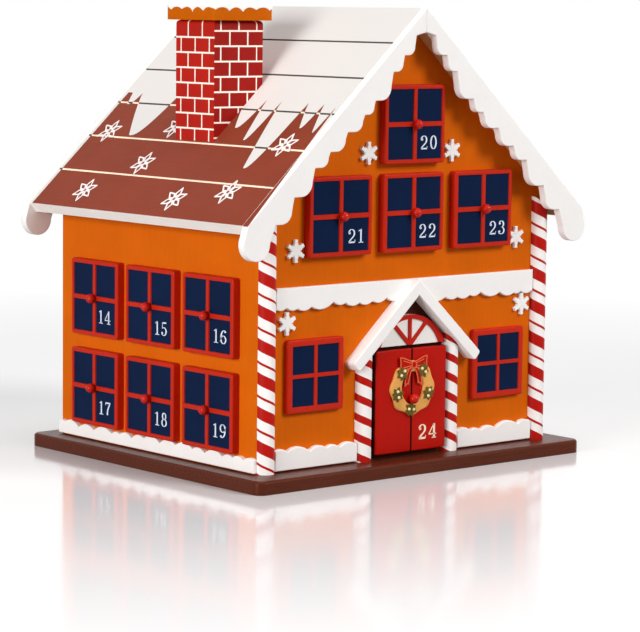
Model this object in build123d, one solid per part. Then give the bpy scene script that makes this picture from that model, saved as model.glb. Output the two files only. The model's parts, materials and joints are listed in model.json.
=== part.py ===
from build123d import *
from math import acos, atan2, cos, degrees, radians, sin, sqrt, tan
import os

# A wooden advent calendar in the shape of a gingerbread house. Twenty-four small drawers slide out of
# its four walls. Millimetres, +Z up, the front (with the door) towards -Y, the origin at the bottom
# centre of the base board. The windows and the gaps between them set the size of the house, about
# 264 wide, 221 deep and 316 high.

# Boards and fits
wall_thickness = 6.0
inner_board = 5.0
seat_gap = 0.2
cut_overrun = 20.0

# Base board, wider than the house, which stands a little behind its middle
base_thickness = 9.3
base_side_margin = 17.5
base_end_margin = 19.7
house_setback = 4.5
base_corner_radius = 7.0
base_edge_chamfer = 1.2

# Window drawers
window_width = 55.2
window_height = 53.8
front_thickness = 6.0
front_chamfer = 0.8
window_overlap = 4.0
frame_bar = 2.8
pane_recess = 0.8
slide_clearance = 0.5
rest_gap = 0.3
tray_board = 2.5
tray_depth = 68.0
tray_end_gap = 1.0
knob_radius = 3.4
knob_height = 6.2
knob_sides = 12
knob_neck_chamfer = 1.3
knob_top_chamfer = 1.7

# Gaps between the windows: upwards from the base board, then along each wall
lower_row_gap = 11.4
row_gap = 9.7
storey_gap = 12.9
gable_gap = 6.3
side_gap = 9.0
corner_margin = 18.7
attic_gap = 10.5
back_gap = 6.0
aisle_clearance = 4.3

# Roof boards, grooved to look like planks; the slope follows the windows' upper corners
roof_thickness = 9.0
roof_clearance = 14.16
eave_overhang = 21.9
plank_count = 6
groove_width = 1.6
groove_depth = 0.8

# Barge boards cut like dripping icing; the drips step down from notch to notch
verge_overhang = 15.8
barge_thickness = 6.0
barge_depth = 18.0
bulb_radius = 11.0
bulb_overhang = 3.3
bulb_drop = 4.6
ridge_depth_share = 0.9
notch_run_shares = (0.066, 0.144, 0.217, 0.334, 0.402, 0.513, 0.623, 0.720, 0.850, 0.966)
notch_depth_shares = (0.57, 0.77, 0.88, 1.13, 1.18, 1.04, 0.99, 0.89, 1.03, 1.20)
drip_round_share = 0.62
drip_lean_share = 0.12

# Chimney on the left slope
chimney_width = 42.5
chimney_run_share = 0.5185
chimney_advance = 2.0
chimney_rise = 43.7
chimney_top_round = 2.5
cap_overhang = 5.0
cap_thickness = 10.0
cap_corner_radius = 2.5

# Door drawer with its wreath
door_width = 65.0
door_height = 69.5
door_foot_gap = 5.7
door_overlap = 2.5
door_groove_width = 1.6
door_groove_depth = 0.8
wreath_radius = 20.2
wreath_lobe_radius = 10.0
wreath_lobe_count = 8
wreath_hole_radius = 12.3
wreath_thickness = 1.5
wreath_knob_gap = 2.4
bow_width = 24.0
bow_height = 11.0
bow_thickness = 1.0
bow_lift_share = 0.845
bow_outline_shares = ((0.0, 0.16), (0.5, 0.5), (0.46, -0.38), (0.0, -0.16))
bow_tail_shares = ((-0.06, 0.0), (-0.30, -0.95), (-0.12, -1.08), (0.05, 0.0))

# Posts, fanlight and porch round the door
post_radius = 6.6
door_post_gap = 0.9
fan_lift = 2.0
fan_overlap = 0.5
fan_fill_share = 0.889
fan_clearance = 0.5
fan_thickness = 3.0
fan_bar = 3.0
fan_bar_thickness = 1.0
fan_spoke_count = 3
porch_board_width = 8.0
porch_depth = 10.0
porch_overhang = 12.4
porch_end_round = 2.5

# Icing band that meets the porch, and the false windows below it
band_drop = 13.0
band_thickness = 3.0
band_lobe = 2.4
band_lobe_width = 12.0
false_window_porch_gap = 1.0
false_window_post_gap = 9.4
false_window_thickness = 4.0
false_window_left_drop = 22.0
false_window_right_drop = 26.4

# Snow along the foot of the walls
snow_thickness = 3.5
front_snow_height = 13.0
side_snow_height = 9.0
snow_lobe = 2.0
snow_lobe_width = 20.0
lobe_width_shares = (1.0, 1.25, 0.85, 1.1)

# Snowflakes glued to the front, each near a window, a post or the band
flake_size = 15.4
flake_thickness = 2.5
flake_arm_count = 6
flake_valley_share = 0.40
flake_arm_shares = ((0.54, 0.26), (0.70, 0.16), (1.00, 0.18))
flake_gable_gap = 3.0
flake_gable_lift = 6.6
flake_attic_gap = 0.7
flake_attic_lift = 5.1
flake_post_gap = 2.5
flake_band_gap = 0.8

# Heights of the rows of windows and pitches of their columns
lower_row_height = base_thickness + lower_row_gap + window_height / 2
upper_row_height = lower_row_height + window_height + row_gap
attic_row_height = upper_row_height + window_height + storey_gap
gable_row_height = attic_row_height + window_height + gable_gap
side_pitch = window_width + side_gap
attic_pitch = window_width + attic_gap
back_pitch = window_width + back_gap

# House body, wide enough for the trays of both side walls with an aisle between them
tray_width = window_width - 2 * (window_overlap + slide_clearance)
tray_height = window_height - 2 * (window_overlap + slide_clearance)
aisle_half = (back_pitch + tray_width) / 2 + aisle_clearance
half_width = aisle_half + inner_board + tray_end_gap + tray_depth
half_depth = side_pitch + window_width / 2 + corner_margin
inner_half_width = half_width - wall_thickness
inner_half_depth = half_depth - wall_thickness
post_inner_x = half_width - 2 * post_radius
lower_shelf_top = lower_row_height - tray_height / 2 - rest_gap
upper_shelf_top = upper_row_height - tray_height / 2 - rest_gap
attic_floor_top = attic_row_height - tray_height / 2 - rest_gap
gable_shelf_top = gable_row_height - tray_height / 2 - rest_gap
attic_floor_foot = attic_floor_top - inner_board

# Roof, a clearance above the upper corners of the gable window and of the attic windows
pitch = atan2(gable_row_height - attic_row_height, attic_pitch)
roof_drop = roof_thickness / cos(pitch)
gable_window_top = gable_row_height + window_height / 2
ridge_height = gable_window_top + roof_clearance + window_width / 2 * tan(pitch) + roof_drop
eave_reach = half_width + eave_overhang
eave_height = ridge_height - eave_reach * tan(pitch)
barge_face = half_depth + verge_overhang
roof_half_length = barge_face - barge_thickness
chimney_centre_x = -chimney_run_share * eave_reach

# Door, with a fanlight whose arc just clears the boards of the porch
door_tray_width = door_width - 2 * (door_overlap + slide_clearance)
door_tray_height = door_height - 2 * (door_overlap + slide_clearance)
door_foot = base_thickness + door_foot_gap
door_centre = door_foot + door_height / 2
door_bed_top = door_centre - door_tray_height / 2 - rest_gap
wreath_lift = wreath_hole_radius - knob_radius - wreath_knob_gap
door_post_offset = door_width / 2 + door_post_gap + post_radius
fan_base_height = door_foot + door_height + fan_lift
fan_half_width = door_width / 2 + fan_overlap
fan_room_height = fan_half_width * tan(pitch) / fan_fill_share
fan_radius = fan_room_height * (1 / cos(pitch) - sqrt(1 - fan_fill_share**2)) / tan(pitch) ** 2
fan_rise = fan_radius - sqrt(fan_radius**2 - fan_half_width**2)
porch_top = fan_base_height + fan_room_height + (fan_clearance + porch_board_width) / cos(pitch)
porch_reach = door_post_offset + post_radius + porch_overhang
band_foot = porch_top - band_drop
false_window_inner_x = porch_reach + false_window_porch_gap
false_window_size = post_inner_x - false_window_post_gap - false_window_inner_x
flake_reach = flake_size / 2
flake_places = {
    "gable": (
        window_width / 2 + flake_gable_gap + flake_reach,
        attic_row_height + window_height / 2 + flake_gable_lift + flake_reach,
    ),
    "attic": (
        attic_pitch + window_width / 2 + flake_attic_gap + flake_reach,
        attic_row_height - window_height / 2 + flake_attic_lift,
    ),
    "ground": (
        post_inner_x - flake_post_gap - flake_reach,
        band_foot - band_lobe - flake_band_gap - flake_reach,
    ),
}


def roof_top_at(x):
    """Height of the roof's upper face at a distance x from the middle."""
    return ridge_height - abs(x) * tan(pitch)


def roof_foot_at(x):
    """Height of the roof's under face at a distance x from the middle."""
    return roof_top_at(x) - roof_drop


def board(x_limits, y_limits, z_limits):
    """A square-edged board between three pairs of limits."""
    spans = [high - low for low, high in (x_limits, y_limits, z_limits)]
    middle = [(low + high) / 2 for low, high in (x_limits, y_limits, z_limits)]
    return Pos(*middle) * Box(*spans)


def upright(face, depth, back=0.0):
    """A face drawn in x and z, made solid from y = back outwards (towards -Y) by depth."""
    plane = Plane(origin=(0, back, 0), x_dir=(1, 0, 0), z_dir=(0, -1, 0))
    return extrude(plane * face, amount=depth)


def outline(points):
    """A flat face with straight sides through the given points."""
    return make_face(Polyline(*points, close=True))


def mirrored(shape):
    """The same piece on the other side of the middle plane."""
    return mirror(shape, Plane.YZ)


def at_wall(side, shape):
    """Carry a shape from wall coordinates (x to the right, -Y outwards) to a wall of the house."""
    places = {
        "front": Pos(0, -half_depth, 0),
        "right": Pos(half_width, 0, 0) * Rot(0, 0, 90),
        "back": Pos(0, half_depth, 0) * Rot(0, 0, 180),
        "left": Pos(-half_width, 0, 0) * Rot(0, 0, -90),
    }
    return places[side] * shape


def solids_of(*shapes):
    """Every solid of the shapes, as one group."""
    return Compound([solid for shape in shapes for solid in shape.solids()])


# Drawer places as (wall, x to the right seen from outside, height), in the order of their numbers
side_columns = [step * side_pitch for step in (-1, 0, 1)]
attic_columns = [step * attic_pitch for step in (-1, 0, 1)]
back_columns = [step * back_pitch / 2 for step in (-1, 1)]
window_rows = [
    ("right", side_columns, upper_row_height),
    ("right", side_columns, lower_row_height),
    ("back", attic_columns, attic_row_height),
    ("back", back_columns, upper_row_height),
    ("back", back_columns, lower_row_height),
    ("left", side_columns, upper_row_height),
    ("left", side_columns, lower_row_height),
    ("front", [0], gable_row_height),
    ("front", attic_columns, attic_row_height),
]
window_places = [(side, x, height) for side, columns, height in window_rows for x in columns]


def paned(width, height, thickness):
    """A window board with chamfered front edges and four recessed panes, its back at y = 0."""
    face = Pos(0, -thickness / 2, 0) * Box(width, thickness, height)
    face = chamfer(face.faces().sort_by(Axis.Y)[0].edges(), front_chamfer)
    pane_width = (width - 3 * frame_bar) / 2
    pane_height = (height - 3 * frame_bar) / 2
    pane = Box(pane_width, 2 * pane_recess, pane_height)
    across = (pane_width + frame_bar) / 2
    along = (pane_height + frame_bar) / 2
    for x in (-across, across):
        for z in (-along, along):
            face -= Pos(x, -thickness, z) * pane
    return face


def knob(front):
    """A knob that stands on the plane y = front: a many-sided barrel, narrower at its neck and top."""
    barrel = extrude(RegularPolygon(knob_radius, knob_sides), amount=knob_height)
    barrel = chamfer(barrel.faces().sort_by(Axis.Z)[0].edges(), knob_neck_chamfer)
    barrel = chamfer(barrel.faces().sort_by(Axis.Z)[-1].edges(), knob_top_chamfer)
    return Pos(0, front, 0) * Rot(90, 0, 0) * barrel


def tray(width, height, depth):
    """The boards of an open tray behind a drawer front: bottom, two sides and back."""
    left, right = -width / 2, width / 2
    foot, top = -height / 2, height / 2
    floor = foot + tray_board
    end = depth - tray_board
    return [
        board((left, right), (0, depth), (foot, floor)),
        board((left, left + tray_board), (0, depth), (floor, top)),
        board((right - tray_board, right), (0, depth), (floor, top)),
        board((left + tray_board, right - tray_board), (end, depth), (floor, top)),
    ]


def window_drawer():
    """A drawer with a four-pane window for its front, centred on its knob."""
    front = paned(window_width, window_height, front_thickness)
    return solids_of(front, knob(-front_thickness), *tray(tray_width, tray_height, tray_depth))


def wreath():
    """A flat ring with a scalloped edge."""
    lobe_place = wreath_radius - wreath_lobe_radius
    ring = Circle(wreath_hole_radius)
    for step in range(wreath_lobe_count):
        ring += Rot(0, 0, 360 * step / wreath_lobe_count) * Pos(lobe_place, 0) * Circle(wreath_lobe_radius)
    return ring - Circle(wreath_hole_radius)


def bow():
    """A flat bow: two loops and two tails, mirrored left and right."""
    loops = [(x * bow_width, z * bow_height) for x, z in bow_outline_shares]
    tail = [(x * bow_width, z * bow_height) for x, z in bow_tail_shares]
    half = outline(loops) + outline([(-x, z) for x, z in tail])
    return half + mirrored(half)


def door_drawer():
    """The drawer behind the double door, with the wreath and its bow on the front."""
    front = Pos(0, -front_thickness / 2, 0) * Box(door_width, front_thickness, door_height)
    front = chamfer(front.faces().sort_by(Axis.Y)[0].edges(), front_chamfer)
    front -= Pos(0, -front_thickness, 0) * Box(door_groove_width, 2 * door_groove_depth, door_height)
    ring = upright(Pos(0, wreath_lift) * wreath(), wreath_thickness, -front_thickness)
    bow_height_on_door = wreath_lift + bow_lift_share * wreath_radius
    ribbon = upright(Pos(0, bow_height_on_door) * bow(), bow_thickness, -front_thickness - wreath_thickness)
    boards = tray(door_tray_width, door_tray_height, tray_depth)
    return solids_of(front, knob(-front_thickness), ring, ribbon, *boards)


def tray_openings(side):
    """The openings of one wall, a clearance larger than the trays that pass through."""
    depth = 2 * wall_thickness + cut_overrun
    width = tray_width + 2 * slide_clearance
    height = tray_height + 2 * slide_clearance
    cuts = [Pos(x, 0, z) * Box(width, depth, height) for wall, x, z in window_places if wall == side]
    if side == "front":
        door = Box(door_tray_width + 2 * slide_clearance, depth, door_tray_height + 2 * slide_clearance)
        cuts.append(Pos(0, 0, door_centre) * door)
    return cuts


def gable_wall(side):
    """The front or back wall: a gabled board with its drawer openings."""
    corner = roof_foot_at(half_width)
    wall = outline([
        (-half_width, base_thickness),
        (half_width, base_thickness),
        (half_width, corner),
        (0, roof_foot_at(0)),
        (-half_width, corner),
    ])
    solid = upright(wall, wall_thickness, wall_thickness)
    for cut in tray_openings(side):
        solid -= cut
    return at_wall(side, solid)


def side_wall(side):
    """The left or right wall, between the gable walls, bevelled on top to the roof's slope."""
    length = (-inner_half_depth, inner_half_depth)
    solid = board(length, (0, wall_thickness), (base_thickness, roof_foot_at(inner_half_width)))
    bevel = Plane.YZ * outline([
        (0, roof_foot_at(half_width)),
        (wall_thickness, roof_foot_at(inner_half_width)),
        (0, roof_foot_at(inner_half_width)),
    ])
    solid -= extrude(bevel, amount=half_depth, both=True)
    for cut in tray_openings(side):
        solid -= cut
    return at_wall(side, solid)


def roof_board():
    """The left roof board, mitred at the ridge, square at the eave, with grooves between its planks."""
    slab = upright(outline([
        (-eave_reach, eave_height),
        (0, ridge_height),
        (0, ridge_height - roof_drop),
        (-eave_reach + roof_thickness * sin(pitch), eave_height - roof_thickness * cos(pitch)),
    ]), 2 * roof_half_length, roof_half_length)
    groove = outline([(-groove_width / 2, 0), (groove_width / 2, 0), (0, -groove_depth)])
    for step in range(1, plank_count):
        run = step / plank_count
        spot = Pos(-eave_reach * (1 - run), roof_top_at(eave_reach * (1 - run))) * Rot(0, 0, degrees(pitch))
        slab -= upright(spot * groove, 2 * roof_half_length, roof_half_length)
    return slab


def barge_board():
    """The front left barge board: straight above, dripping below, with a round bulb at the eave."""
    bulb_x = eave_reach + bulb_overhang - bulb_radius
    bulb_z = roof_top_at(bulb_x) - bulb_radius / cos(pitch) - bulb_drop
    reach_x, reach_z = eave_reach - bulb_x, eave_height - bulb_z
    turn = atan2(reach_z, reach_x) - acos(bulb_radius / sqrt(reach_x**2 + reach_z**2))
    tangent = (bulb_x + bulb_radius * cos(turn), bulb_z + bulb_radius * sin(turn))
    bulb_foot = (bulb_x, bulb_z - bulb_radius)
    bulb_inner = (bulb_x - bulb_radius, bulb_z)
    notches = [
        (run * bulb_inner[0], roof_top_at(run * bulb_inner[0]) - depth * barge_depth)
        for run, depth in zip(notch_run_shares, notch_depth_shares)
    ]
    ridge_foot = (0, ridge_height - ridge_depth_share * barge_depth)
    eave = (eave_reach, eave_height)
    sides = [Line((0, ridge_height), eave), Line(eave, tangent), ThreePointArc(tangent, bulb_foot, bulb_inner)]
    sides.append(Line(bulb_inner, notches[-1]))
    for upper, lower in reversed(list(zip(notches, notches[1:]))):
        run = lower[0] - upper[0]
        drop = upper[1] - lower[1]
        side = upper[0] + drip_lean_share * run
        round_radius = drip_round_share * min(lower[0] - side, drop)
        flat_end = (side + round_radius, lower[1])
        round_end = (side, lower[1] + round_radius)
        sides.append(Line(lower, flat_end))
        sides.append(RadiusArc(flat_end, round_end, round_radius))
        sides.append(Line(round_end, upper))
    sides.append(Line(notches[0], ridge_foot))
    sides.append(Line(ridge_foot, (0, ridge_height)))
    right = upright(make_face(sides), barge_thickness, barge_thickness - barge_face)
    return mirrored(right)


def chimney_stack():
    """A square stack whose foot follows the left slope of the roof, rounded on top."""
    left = chimney_centre_x - chimney_width / 2
    right = chimney_centre_x + chimney_width / 2
    top = roof_top_at(right) + chimney_rise
    block = upright(outline([
        (left, roof_top_at(left)),
        (right, roof_top_at(right)),
        (right, top),
        (left, top),
    ]), chimney_width, chimney_width / 2 - chimney_advance)
    return fillet(block.faces().sort_by(Axis.Z)[-1].edges(), chimney_top_round)


def chimney_cap():
    """A flat cap board that overhangs the stack all round."""
    size = chimney_width + 2 * cap_overhang
    slab = extrude(RectangleRounded(size, size, cap_corner_radius), amount=cap_thickness)
    foot = roof_top_at(chimney_centre_x + chimney_width / 2) + chimney_rise
    return Pos(chimney_centre_x, -chimney_advance, foot) * slab


def half_round_post(x, foot, top_left, top_right):
    """A half-round post on the front wall, cut on top to a slope between two heights."""
    section = Circle(post_radius) & Pos(0, -post_radius) * Rectangle(2 * post_radius, 2 * post_radius)
    left, right = x - post_radius, x + post_radius
    tall = max(top_left, top_right)
    rod = Pos(x, 0, foot) * extrude(section, amount=tall - foot)
    cutter = outline([(left, foot), (right, foot), (right, top_right), (left, top_left)])
    return at_wall("front", rod & upright(cutter, post_radius))


def corner_posts():
    """Posts at the two front corners, from the base board to the roof's under face."""
    x = half_width - post_radius
    inner = roof_foot_at(x - post_radius) - seat_gap
    outer = roof_foot_at(x + post_radius) - seat_gap
    right = half_round_post(x, base_thickness, inner, outer)
    return solids_of(mirrored(right), right)


def porch_outer_at(x):
    """Height of the porch's upper edge at a distance x from the middle."""
    return porch_top - abs(x) * tan(pitch)


def porch_inner_at(x):
    """Height of the porch's lower edge at a distance x from the middle."""
    return porch_outer_at(x) - porch_board_width / cos(pitch)


def door_posts():
    """Posts beside the door, from the base board to the porch."""
    inner = porch_inner_at(door_post_offset - post_radius) - seat_gap
    outer = porch_inner_at(door_post_offset + post_radius) - seat_gap
    right = half_round_post(door_post_offset, base_thickness, inner, outer)
    return solids_of(mirrored(right), right)


def porch_rafter():
    """The left board of the porch gable, mitred at the top and rounded at its lower end."""
    end_outer = (-porch_reach, porch_outer_at(porch_reach))
    end_inner = (end_outer[0] + porch_board_width * sin(pitch), end_outer[1] - porch_board_width * cos(pitch))
    face = Sketch() + outline([(0, porch_outer_at(0)), (0, porch_inner_at(0)), end_inner, end_outer])
    face = fillet(face.vertices().sort_by(Axis.X)[:2], porch_end_round)
    return at_wall("front", upright(face, porch_depth))


def lobed_edge(start, end, height, lobe_width, bulge):
    """Arcs from x = start to x = end at a height, bulging up or down, of uneven widths."""
    span = end - start
    count = max(1, round(abs(span) / lobe_width))
    widths = [lobe_width_shares[step % len(lobe_width_shares)] for step in range(count)]
    x = start
    arcs = []
    for width in widths:
        step = span * width / sum(widths)
        arcs.append(ThreePointArc((x, height), (x + step / 2, height + bulge), (x + step, height)))
        x += step
    return arcs, (x, height)


def snow_strip(left, right, height):
    """A strip of snow at the foot of a wall, with a lumpy upper edge."""
    shoulder = base_thickness + height
    lumps, end = lobed_edge(left, right, shoulder, snow_lobe_width, snow_lobe)
    sides = lumps + [
        Line(end, (right, base_thickness)),
        Line((right, base_thickness), (left, base_thickness)),
        Line((left, base_thickness), (left, shoulder)),
    ]
    return upright(make_face(sides), snow_thickness)


def front_snow():
    """The two strips of snow between the corner posts and the door posts."""
    inner = door_post_offset + post_radius + seat_gap
    outer = post_inner_x - seat_gap
    right = at_wall("front", snow_strip(inner, outer, front_snow_height))
    return solids_of(mirrored(right), right)


def icing_band():
    """The icing band across the front, in two lengths that meet the porch."""
    outer = post_inner_x - seat_gap
    top_inner = seat_gap / sin(pitch)
    foot_inner = top_inner + band_drop / tan(pitch)
    drips, end = lobed_edge(foot_inner, outer, band_foot, band_lobe_width, -band_lobe)
    sides = drips + [
        Line(end, (outer, porch_top)),
        Line((outer, porch_top), (top_inner, porch_top)),
        Line((top_inner, porch_top), (foot_inner, band_foot)),
    ]
    right = at_wall("front", upright(make_face(sides), band_thickness))
    return solids_of(mirrored(right), right)


def segment(half_chord, rise):
    """A circular segment on a chord along x."""
    arc = ThreePointArc((half_chord, 0), (0, rise), (-half_chord, 0))
    return make_face([arc, Line((-half_chord, 0), (half_chord, 0))])


def fanlight():
    """The half-round light above the door: a panel, and a rim with spokes on its face."""
    panel = segment(fan_half_width, fan_rise)
    rim = panel - segment(fan_half_width - 2 * fan_bar, fan_rise - fan_bar)
    bar = Pos(fan_half_width / 2, 0) * Rectangle(fan_half_width, fan_bar)
    for step in range(1, fan_spoke_count + 1):
        rim += Rot(0, 0, 180 * step / (fan_spoke_count + 1)) * bar & panel
    back = upright(Pos(0, fan_base_height) * panel, fan_thickness)
    bars = upright(Pos(0, fan_base_height) * rim, fan_bar_thickness, -fan_thickness)
    return at_wall("front", solids_of(back, bars))


def false_window(side, drop):
    """A window board glued to the front wall, without a drawer, its top a drop below the band."""
    board_shape = paned(false_window_size, false_window_size, false_window_thickness)
    x = false_window_inner_x + false_window_size / 2
    return at_wall("front", Pos(side * x, 0, band_foot - drop - false_window_size / 2) * board_shape)


def snowflake():
    """A flat six-armed star with a pair of side points on each arm."""
    turn = 360 / flake_arm_count
    points = []
    for step in range(flake_arm_count):
        arm = [(along * flake_reach, -across * flake_reach) for along, across in flake_arm_shares]
        arm += [(along, -across) for along, across in reversed(arm)]
        valley = flake_valley_share * flake_reach
        arm.append((valley * cos(radians(turn / 2)), valley * sin(radians(turn / 2))))
        points += [Vector(x, z).rotate(Axis.Z, turn * step + turn / 2) for x, z in arm]
    return outline(points)


def snowflakes():
    """Six snowflakes, in mirrored pairs."""
    solids = []
    for x, height in flake_places.values():
        for side in (-1, 1):
            solids.append(at_wall("front", upright(Pos(side * x, height) * snowflake(), flake_thickness)))
    return solids_of(*solids)


def base_board():
    """The board that everything stands on, with rounded corners and an eased upper edge."""
    width = 2 * (half_width + base_side_margin)
    depth = 2 * (half_depth + base_end_margin)
    slab = extrude(RectangleRounded(width, depth, base_corner_radius), amount=base_thickness)
    return Pos(0, -house_setback, 0) * chamfer(slab.faces().sort_by(Axis.Z)[-1].edges(), base_edge_chamfer)


def inner_wall():
    """The left inner wall, which closes off the trays of the left wall."""
    limits = (-aisle_half - inner_board, -aisle_half)
    return board(limits, (-inner_half_depth, inner_half_depth), (base_thickness, attic_floor_foot))


def side_shelves():
    """Two shelves on each side under the trays of the side walls."""
    left = (-inner_half_width, -aisle_half - inner_board)
    length = (-inner_half_depth, inner_half_depth)
    shelves = [board(left, length, (top - inner_board, top)) for top in (lower_shelf_top, upper_shelf_top)]
    return solids_of(*shelves, *[mirrored(shelf) for shelf in shelves])


def storeys():
    """Foot and top of the space above each of the two shelves."""
    return ((lower_shelf_top, upper_shelf_top - inner_board), (upper_shelf_top, attic_floor_foot))


def side_dividers():
    """Upright boards between the columns of trays, on both sides."""
    left = (-inner_half_width, -aisle_half - inner_board)
    boards = []
    for step in (-1, 1):
        middle = step * side_pitch / 2
        across = (middle - inner_board / 2, middle + inner_board / 2)
        boards += [board(left, across, limits) for limits in storeys()]
    return solids_of(*boards, *[mirrored(divider) for divider in boards])


def back_shelves():
    """Two shelves in the middle aisle under the trays of the back wall."""
    across = (-aisle_half, aisle_half)
    length = (half_depth - tray_depth - tray_end_gap, inner_half_depth)
    shelf_tops = (lower_shelf_top, upper_shelf_top)
    return solids_of(*[board(across, length, (top - inner_board, top)) for top in shelf_tops])


def back_dividers():
    """Upright boards between the two columns of trays in the back wall."""
    across = (-inner_board / 2, inner_board / 2)
    length = (half_depth - tray_depth - tray_end_gap, inner_half_depth)
    return solids_of(*[board(across, length, limits) for limits in storeys()])


def door_drawer_bed():
    """The board on the base that the door's tray slides on."""
    across = (-door_tray_width / 2, door_tray_width / 2)
    return board(across, (-inner_half_depth, tray_depth - half_depth), (base_thickness, door_bed_top))


def attic_floor():
    """The floor of the attic, which carries the upper trays of both gable walls."""
    return board(
        (-inner_half_width, inner_half_width),
        (-inner_half_depth, inner_half_depth),
        (attic_floor_foot, attic_floor_top),
    )


def attic_dividers():
    """Two upright boards between the columns of the attic, which carry the gable shelf."""
    across = (-attic_pitch / 2 - inner_board / 2, -attic_pitch / 2 + inner_board / 2)
    limits = (attic_floor_top, gable_shelf_top - inner_board)
    left = board(across, (-inner_half_depth, inner_half_depth), limits)
    return solids_of(left, mirrored(left))


def gable_shelf():
    """The shelf under the tray in the gable."""
    reach = attic_pitch / 2 + inner_board / 2
    length = (-inner_half_depth, tray_depth + tray_end_gap - half_depth)
    return board((-reach, reach), length, (gable_shelf_top - inner_board, gable_shelf_top))


def house_pieces():
    """Every fixed piece by name."""
    roof_left = roof_board()
    barge_left = barge_board()
    rafter_left = porch_rafter()
    inner_left = inner_wall()
    side_snow = snow_strip(-half_depth, half_depth, side_snow_height)
    return {
        "base_board": base_board(),
        "front_wall": gable_wall("front"),
        "back_wall": gable_wall("back"),
        "left_wall": side_wall("left"),
        "right_wall": side_wall("right"),
        "roof_left": roof_left,
        "roof_right": mirrored(roof_left),
        "barge_front_left": barge_left,
        "barge_front_right": mirrored(barge_left),
        "barge_back_left": mirror(barge_left, Plane.XZ),
        "barge_back_right": mirrored(mirror(barge_left, Plane.XZ)),
        "chimney_stack": chimney_stack(),
        "chimney_cap": chimney_cap(),
        "corner_posts": corner_posts(),
        "door_posts": door_posts(),
        "porch_rafter_left": rafter_left,
        "porch_rafter_right": mirrored(rafter_left),
        "fanlight": fanlight(),
        "icing_band": icing_band(),
        "base_snow_front": front_snow(),
        "base_snow_left": at_wall("left", side_snow),
        "base_snow_right": at_wall("right", side_snow),
        "snowflakes": snowflakes(),
        "false_window_left": false_window(-1, false_window_left_drop),
        "false_window_right": false_window(1, false_window_right_drop),
        "attic_floor": attic_floor(),
        "inner_wall_left": inner_left,
        "inner_wall_right": mirrored(inner_left),
        "side_shelves": side_shelves(),
        "side_dividers": side_dividers(),
        "back_shelves": back_shelves(),
        "back_dividers": back_dividers(),
        "door_drawer_bed": door_drawer_bed(),
        "attic_dividers": attic_dividers(),
        "gable_shelf": gable_shelf(),
    }


def drawer_pieces():
    """Every drawer by name, numbered round the house, with the door last."""
    window = window_drawer()
    drawers = []
    for side, x, height in window_places:
        drawers.append(at_wall(side, Pos(x, 0, height) * window))
    drawers.append(at_wall("front", Pos(0, 0, door_centre) * door_drawer()))
    return {f"drawer_{number:02d}": drawer for number, drawer in enumerate(drawers, start=1)}


os.makedirs("parts", exist_ok=True)
for name, shape in {**house_pieces(), **drawer_pieces()}.items():
    export_step(Pos(0, house_setback, 0) * shape, f"parts/{name}.step")
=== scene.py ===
# %% [markdown]
# # A gingerbread house with twenty-four drawers
# The real object is a wooden advent calendar: a painted house on a base board, whose windows are the
# fronts of small drawers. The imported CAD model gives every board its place, so this lesson dresses it:
# it keeps the plain boards, eases their edges and paints them, and rebuilds the pieces whose charm is in
# their surface, such as the window fronts, the striped posts, the bricks and the snowy roof.

# %% Frame and first measurements
import json

import bpy
import numpy as np
from mathutils import Matrix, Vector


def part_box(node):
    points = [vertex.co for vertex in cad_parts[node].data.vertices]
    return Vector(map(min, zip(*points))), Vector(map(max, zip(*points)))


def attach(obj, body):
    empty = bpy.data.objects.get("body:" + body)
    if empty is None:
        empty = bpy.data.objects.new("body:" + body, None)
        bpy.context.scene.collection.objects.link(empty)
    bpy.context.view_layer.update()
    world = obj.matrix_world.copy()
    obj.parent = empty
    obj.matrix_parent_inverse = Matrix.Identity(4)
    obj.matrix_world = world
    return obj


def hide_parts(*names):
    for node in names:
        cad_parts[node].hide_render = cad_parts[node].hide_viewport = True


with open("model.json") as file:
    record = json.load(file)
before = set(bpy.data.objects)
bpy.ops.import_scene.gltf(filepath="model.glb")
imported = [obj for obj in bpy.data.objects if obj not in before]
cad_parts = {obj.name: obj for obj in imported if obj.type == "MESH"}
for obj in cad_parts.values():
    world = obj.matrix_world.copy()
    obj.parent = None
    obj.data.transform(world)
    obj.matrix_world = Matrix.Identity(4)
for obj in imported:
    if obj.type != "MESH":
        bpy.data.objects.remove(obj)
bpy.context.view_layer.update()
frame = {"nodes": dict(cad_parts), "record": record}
MM = 0.001


def box_mm(node):
    """Lowest and highest corner of a CAD node in millimetres."""
    low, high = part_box(node)
    return np.array(low) / MM, np.array(high) / MM


wall_low, wall_high = box_mm("front_wall")
half_width = wall_high[0]
front_reach = -wall_low[1]
back_reach = box_mm("back_wall")[1][1]
base_top = wall_low[2]
print(f"house {2 * half_width:.0f} mm wide and {front_reach + back_reach:.0f} mm deep")
print(len(frame["nodes"]), "nodes")

# %% [markdown]
# ## Camera
# The photograph was taken from a little above the base, off the front left corner, with a long lens. A
# Track To constraint could aim the camera, but it leaves no room for the photograph's slight roll. A camera
# is a place and three axes, so the azimuth, elevation and roll are turned into those axes directly.

# %% Camera at the photograph's angle
picture_width = 640
focal_pixels = 2722.8
camera_distance = 1951.4
azimuth, elevation, roll = np.radians([-40.616, 6.521, 0.668])
aim_height, aim_shift = 96.2, 9.4
sensor_width = 36.0


def posed(axes, spot):
    """The matrix that turns an object to three axes, given as columns, and moves it to a spot."""
    return Matrix([[*row, shift] for row, shift in zip(axes, spot)] + [[0, 0, 0, 1]])


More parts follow.
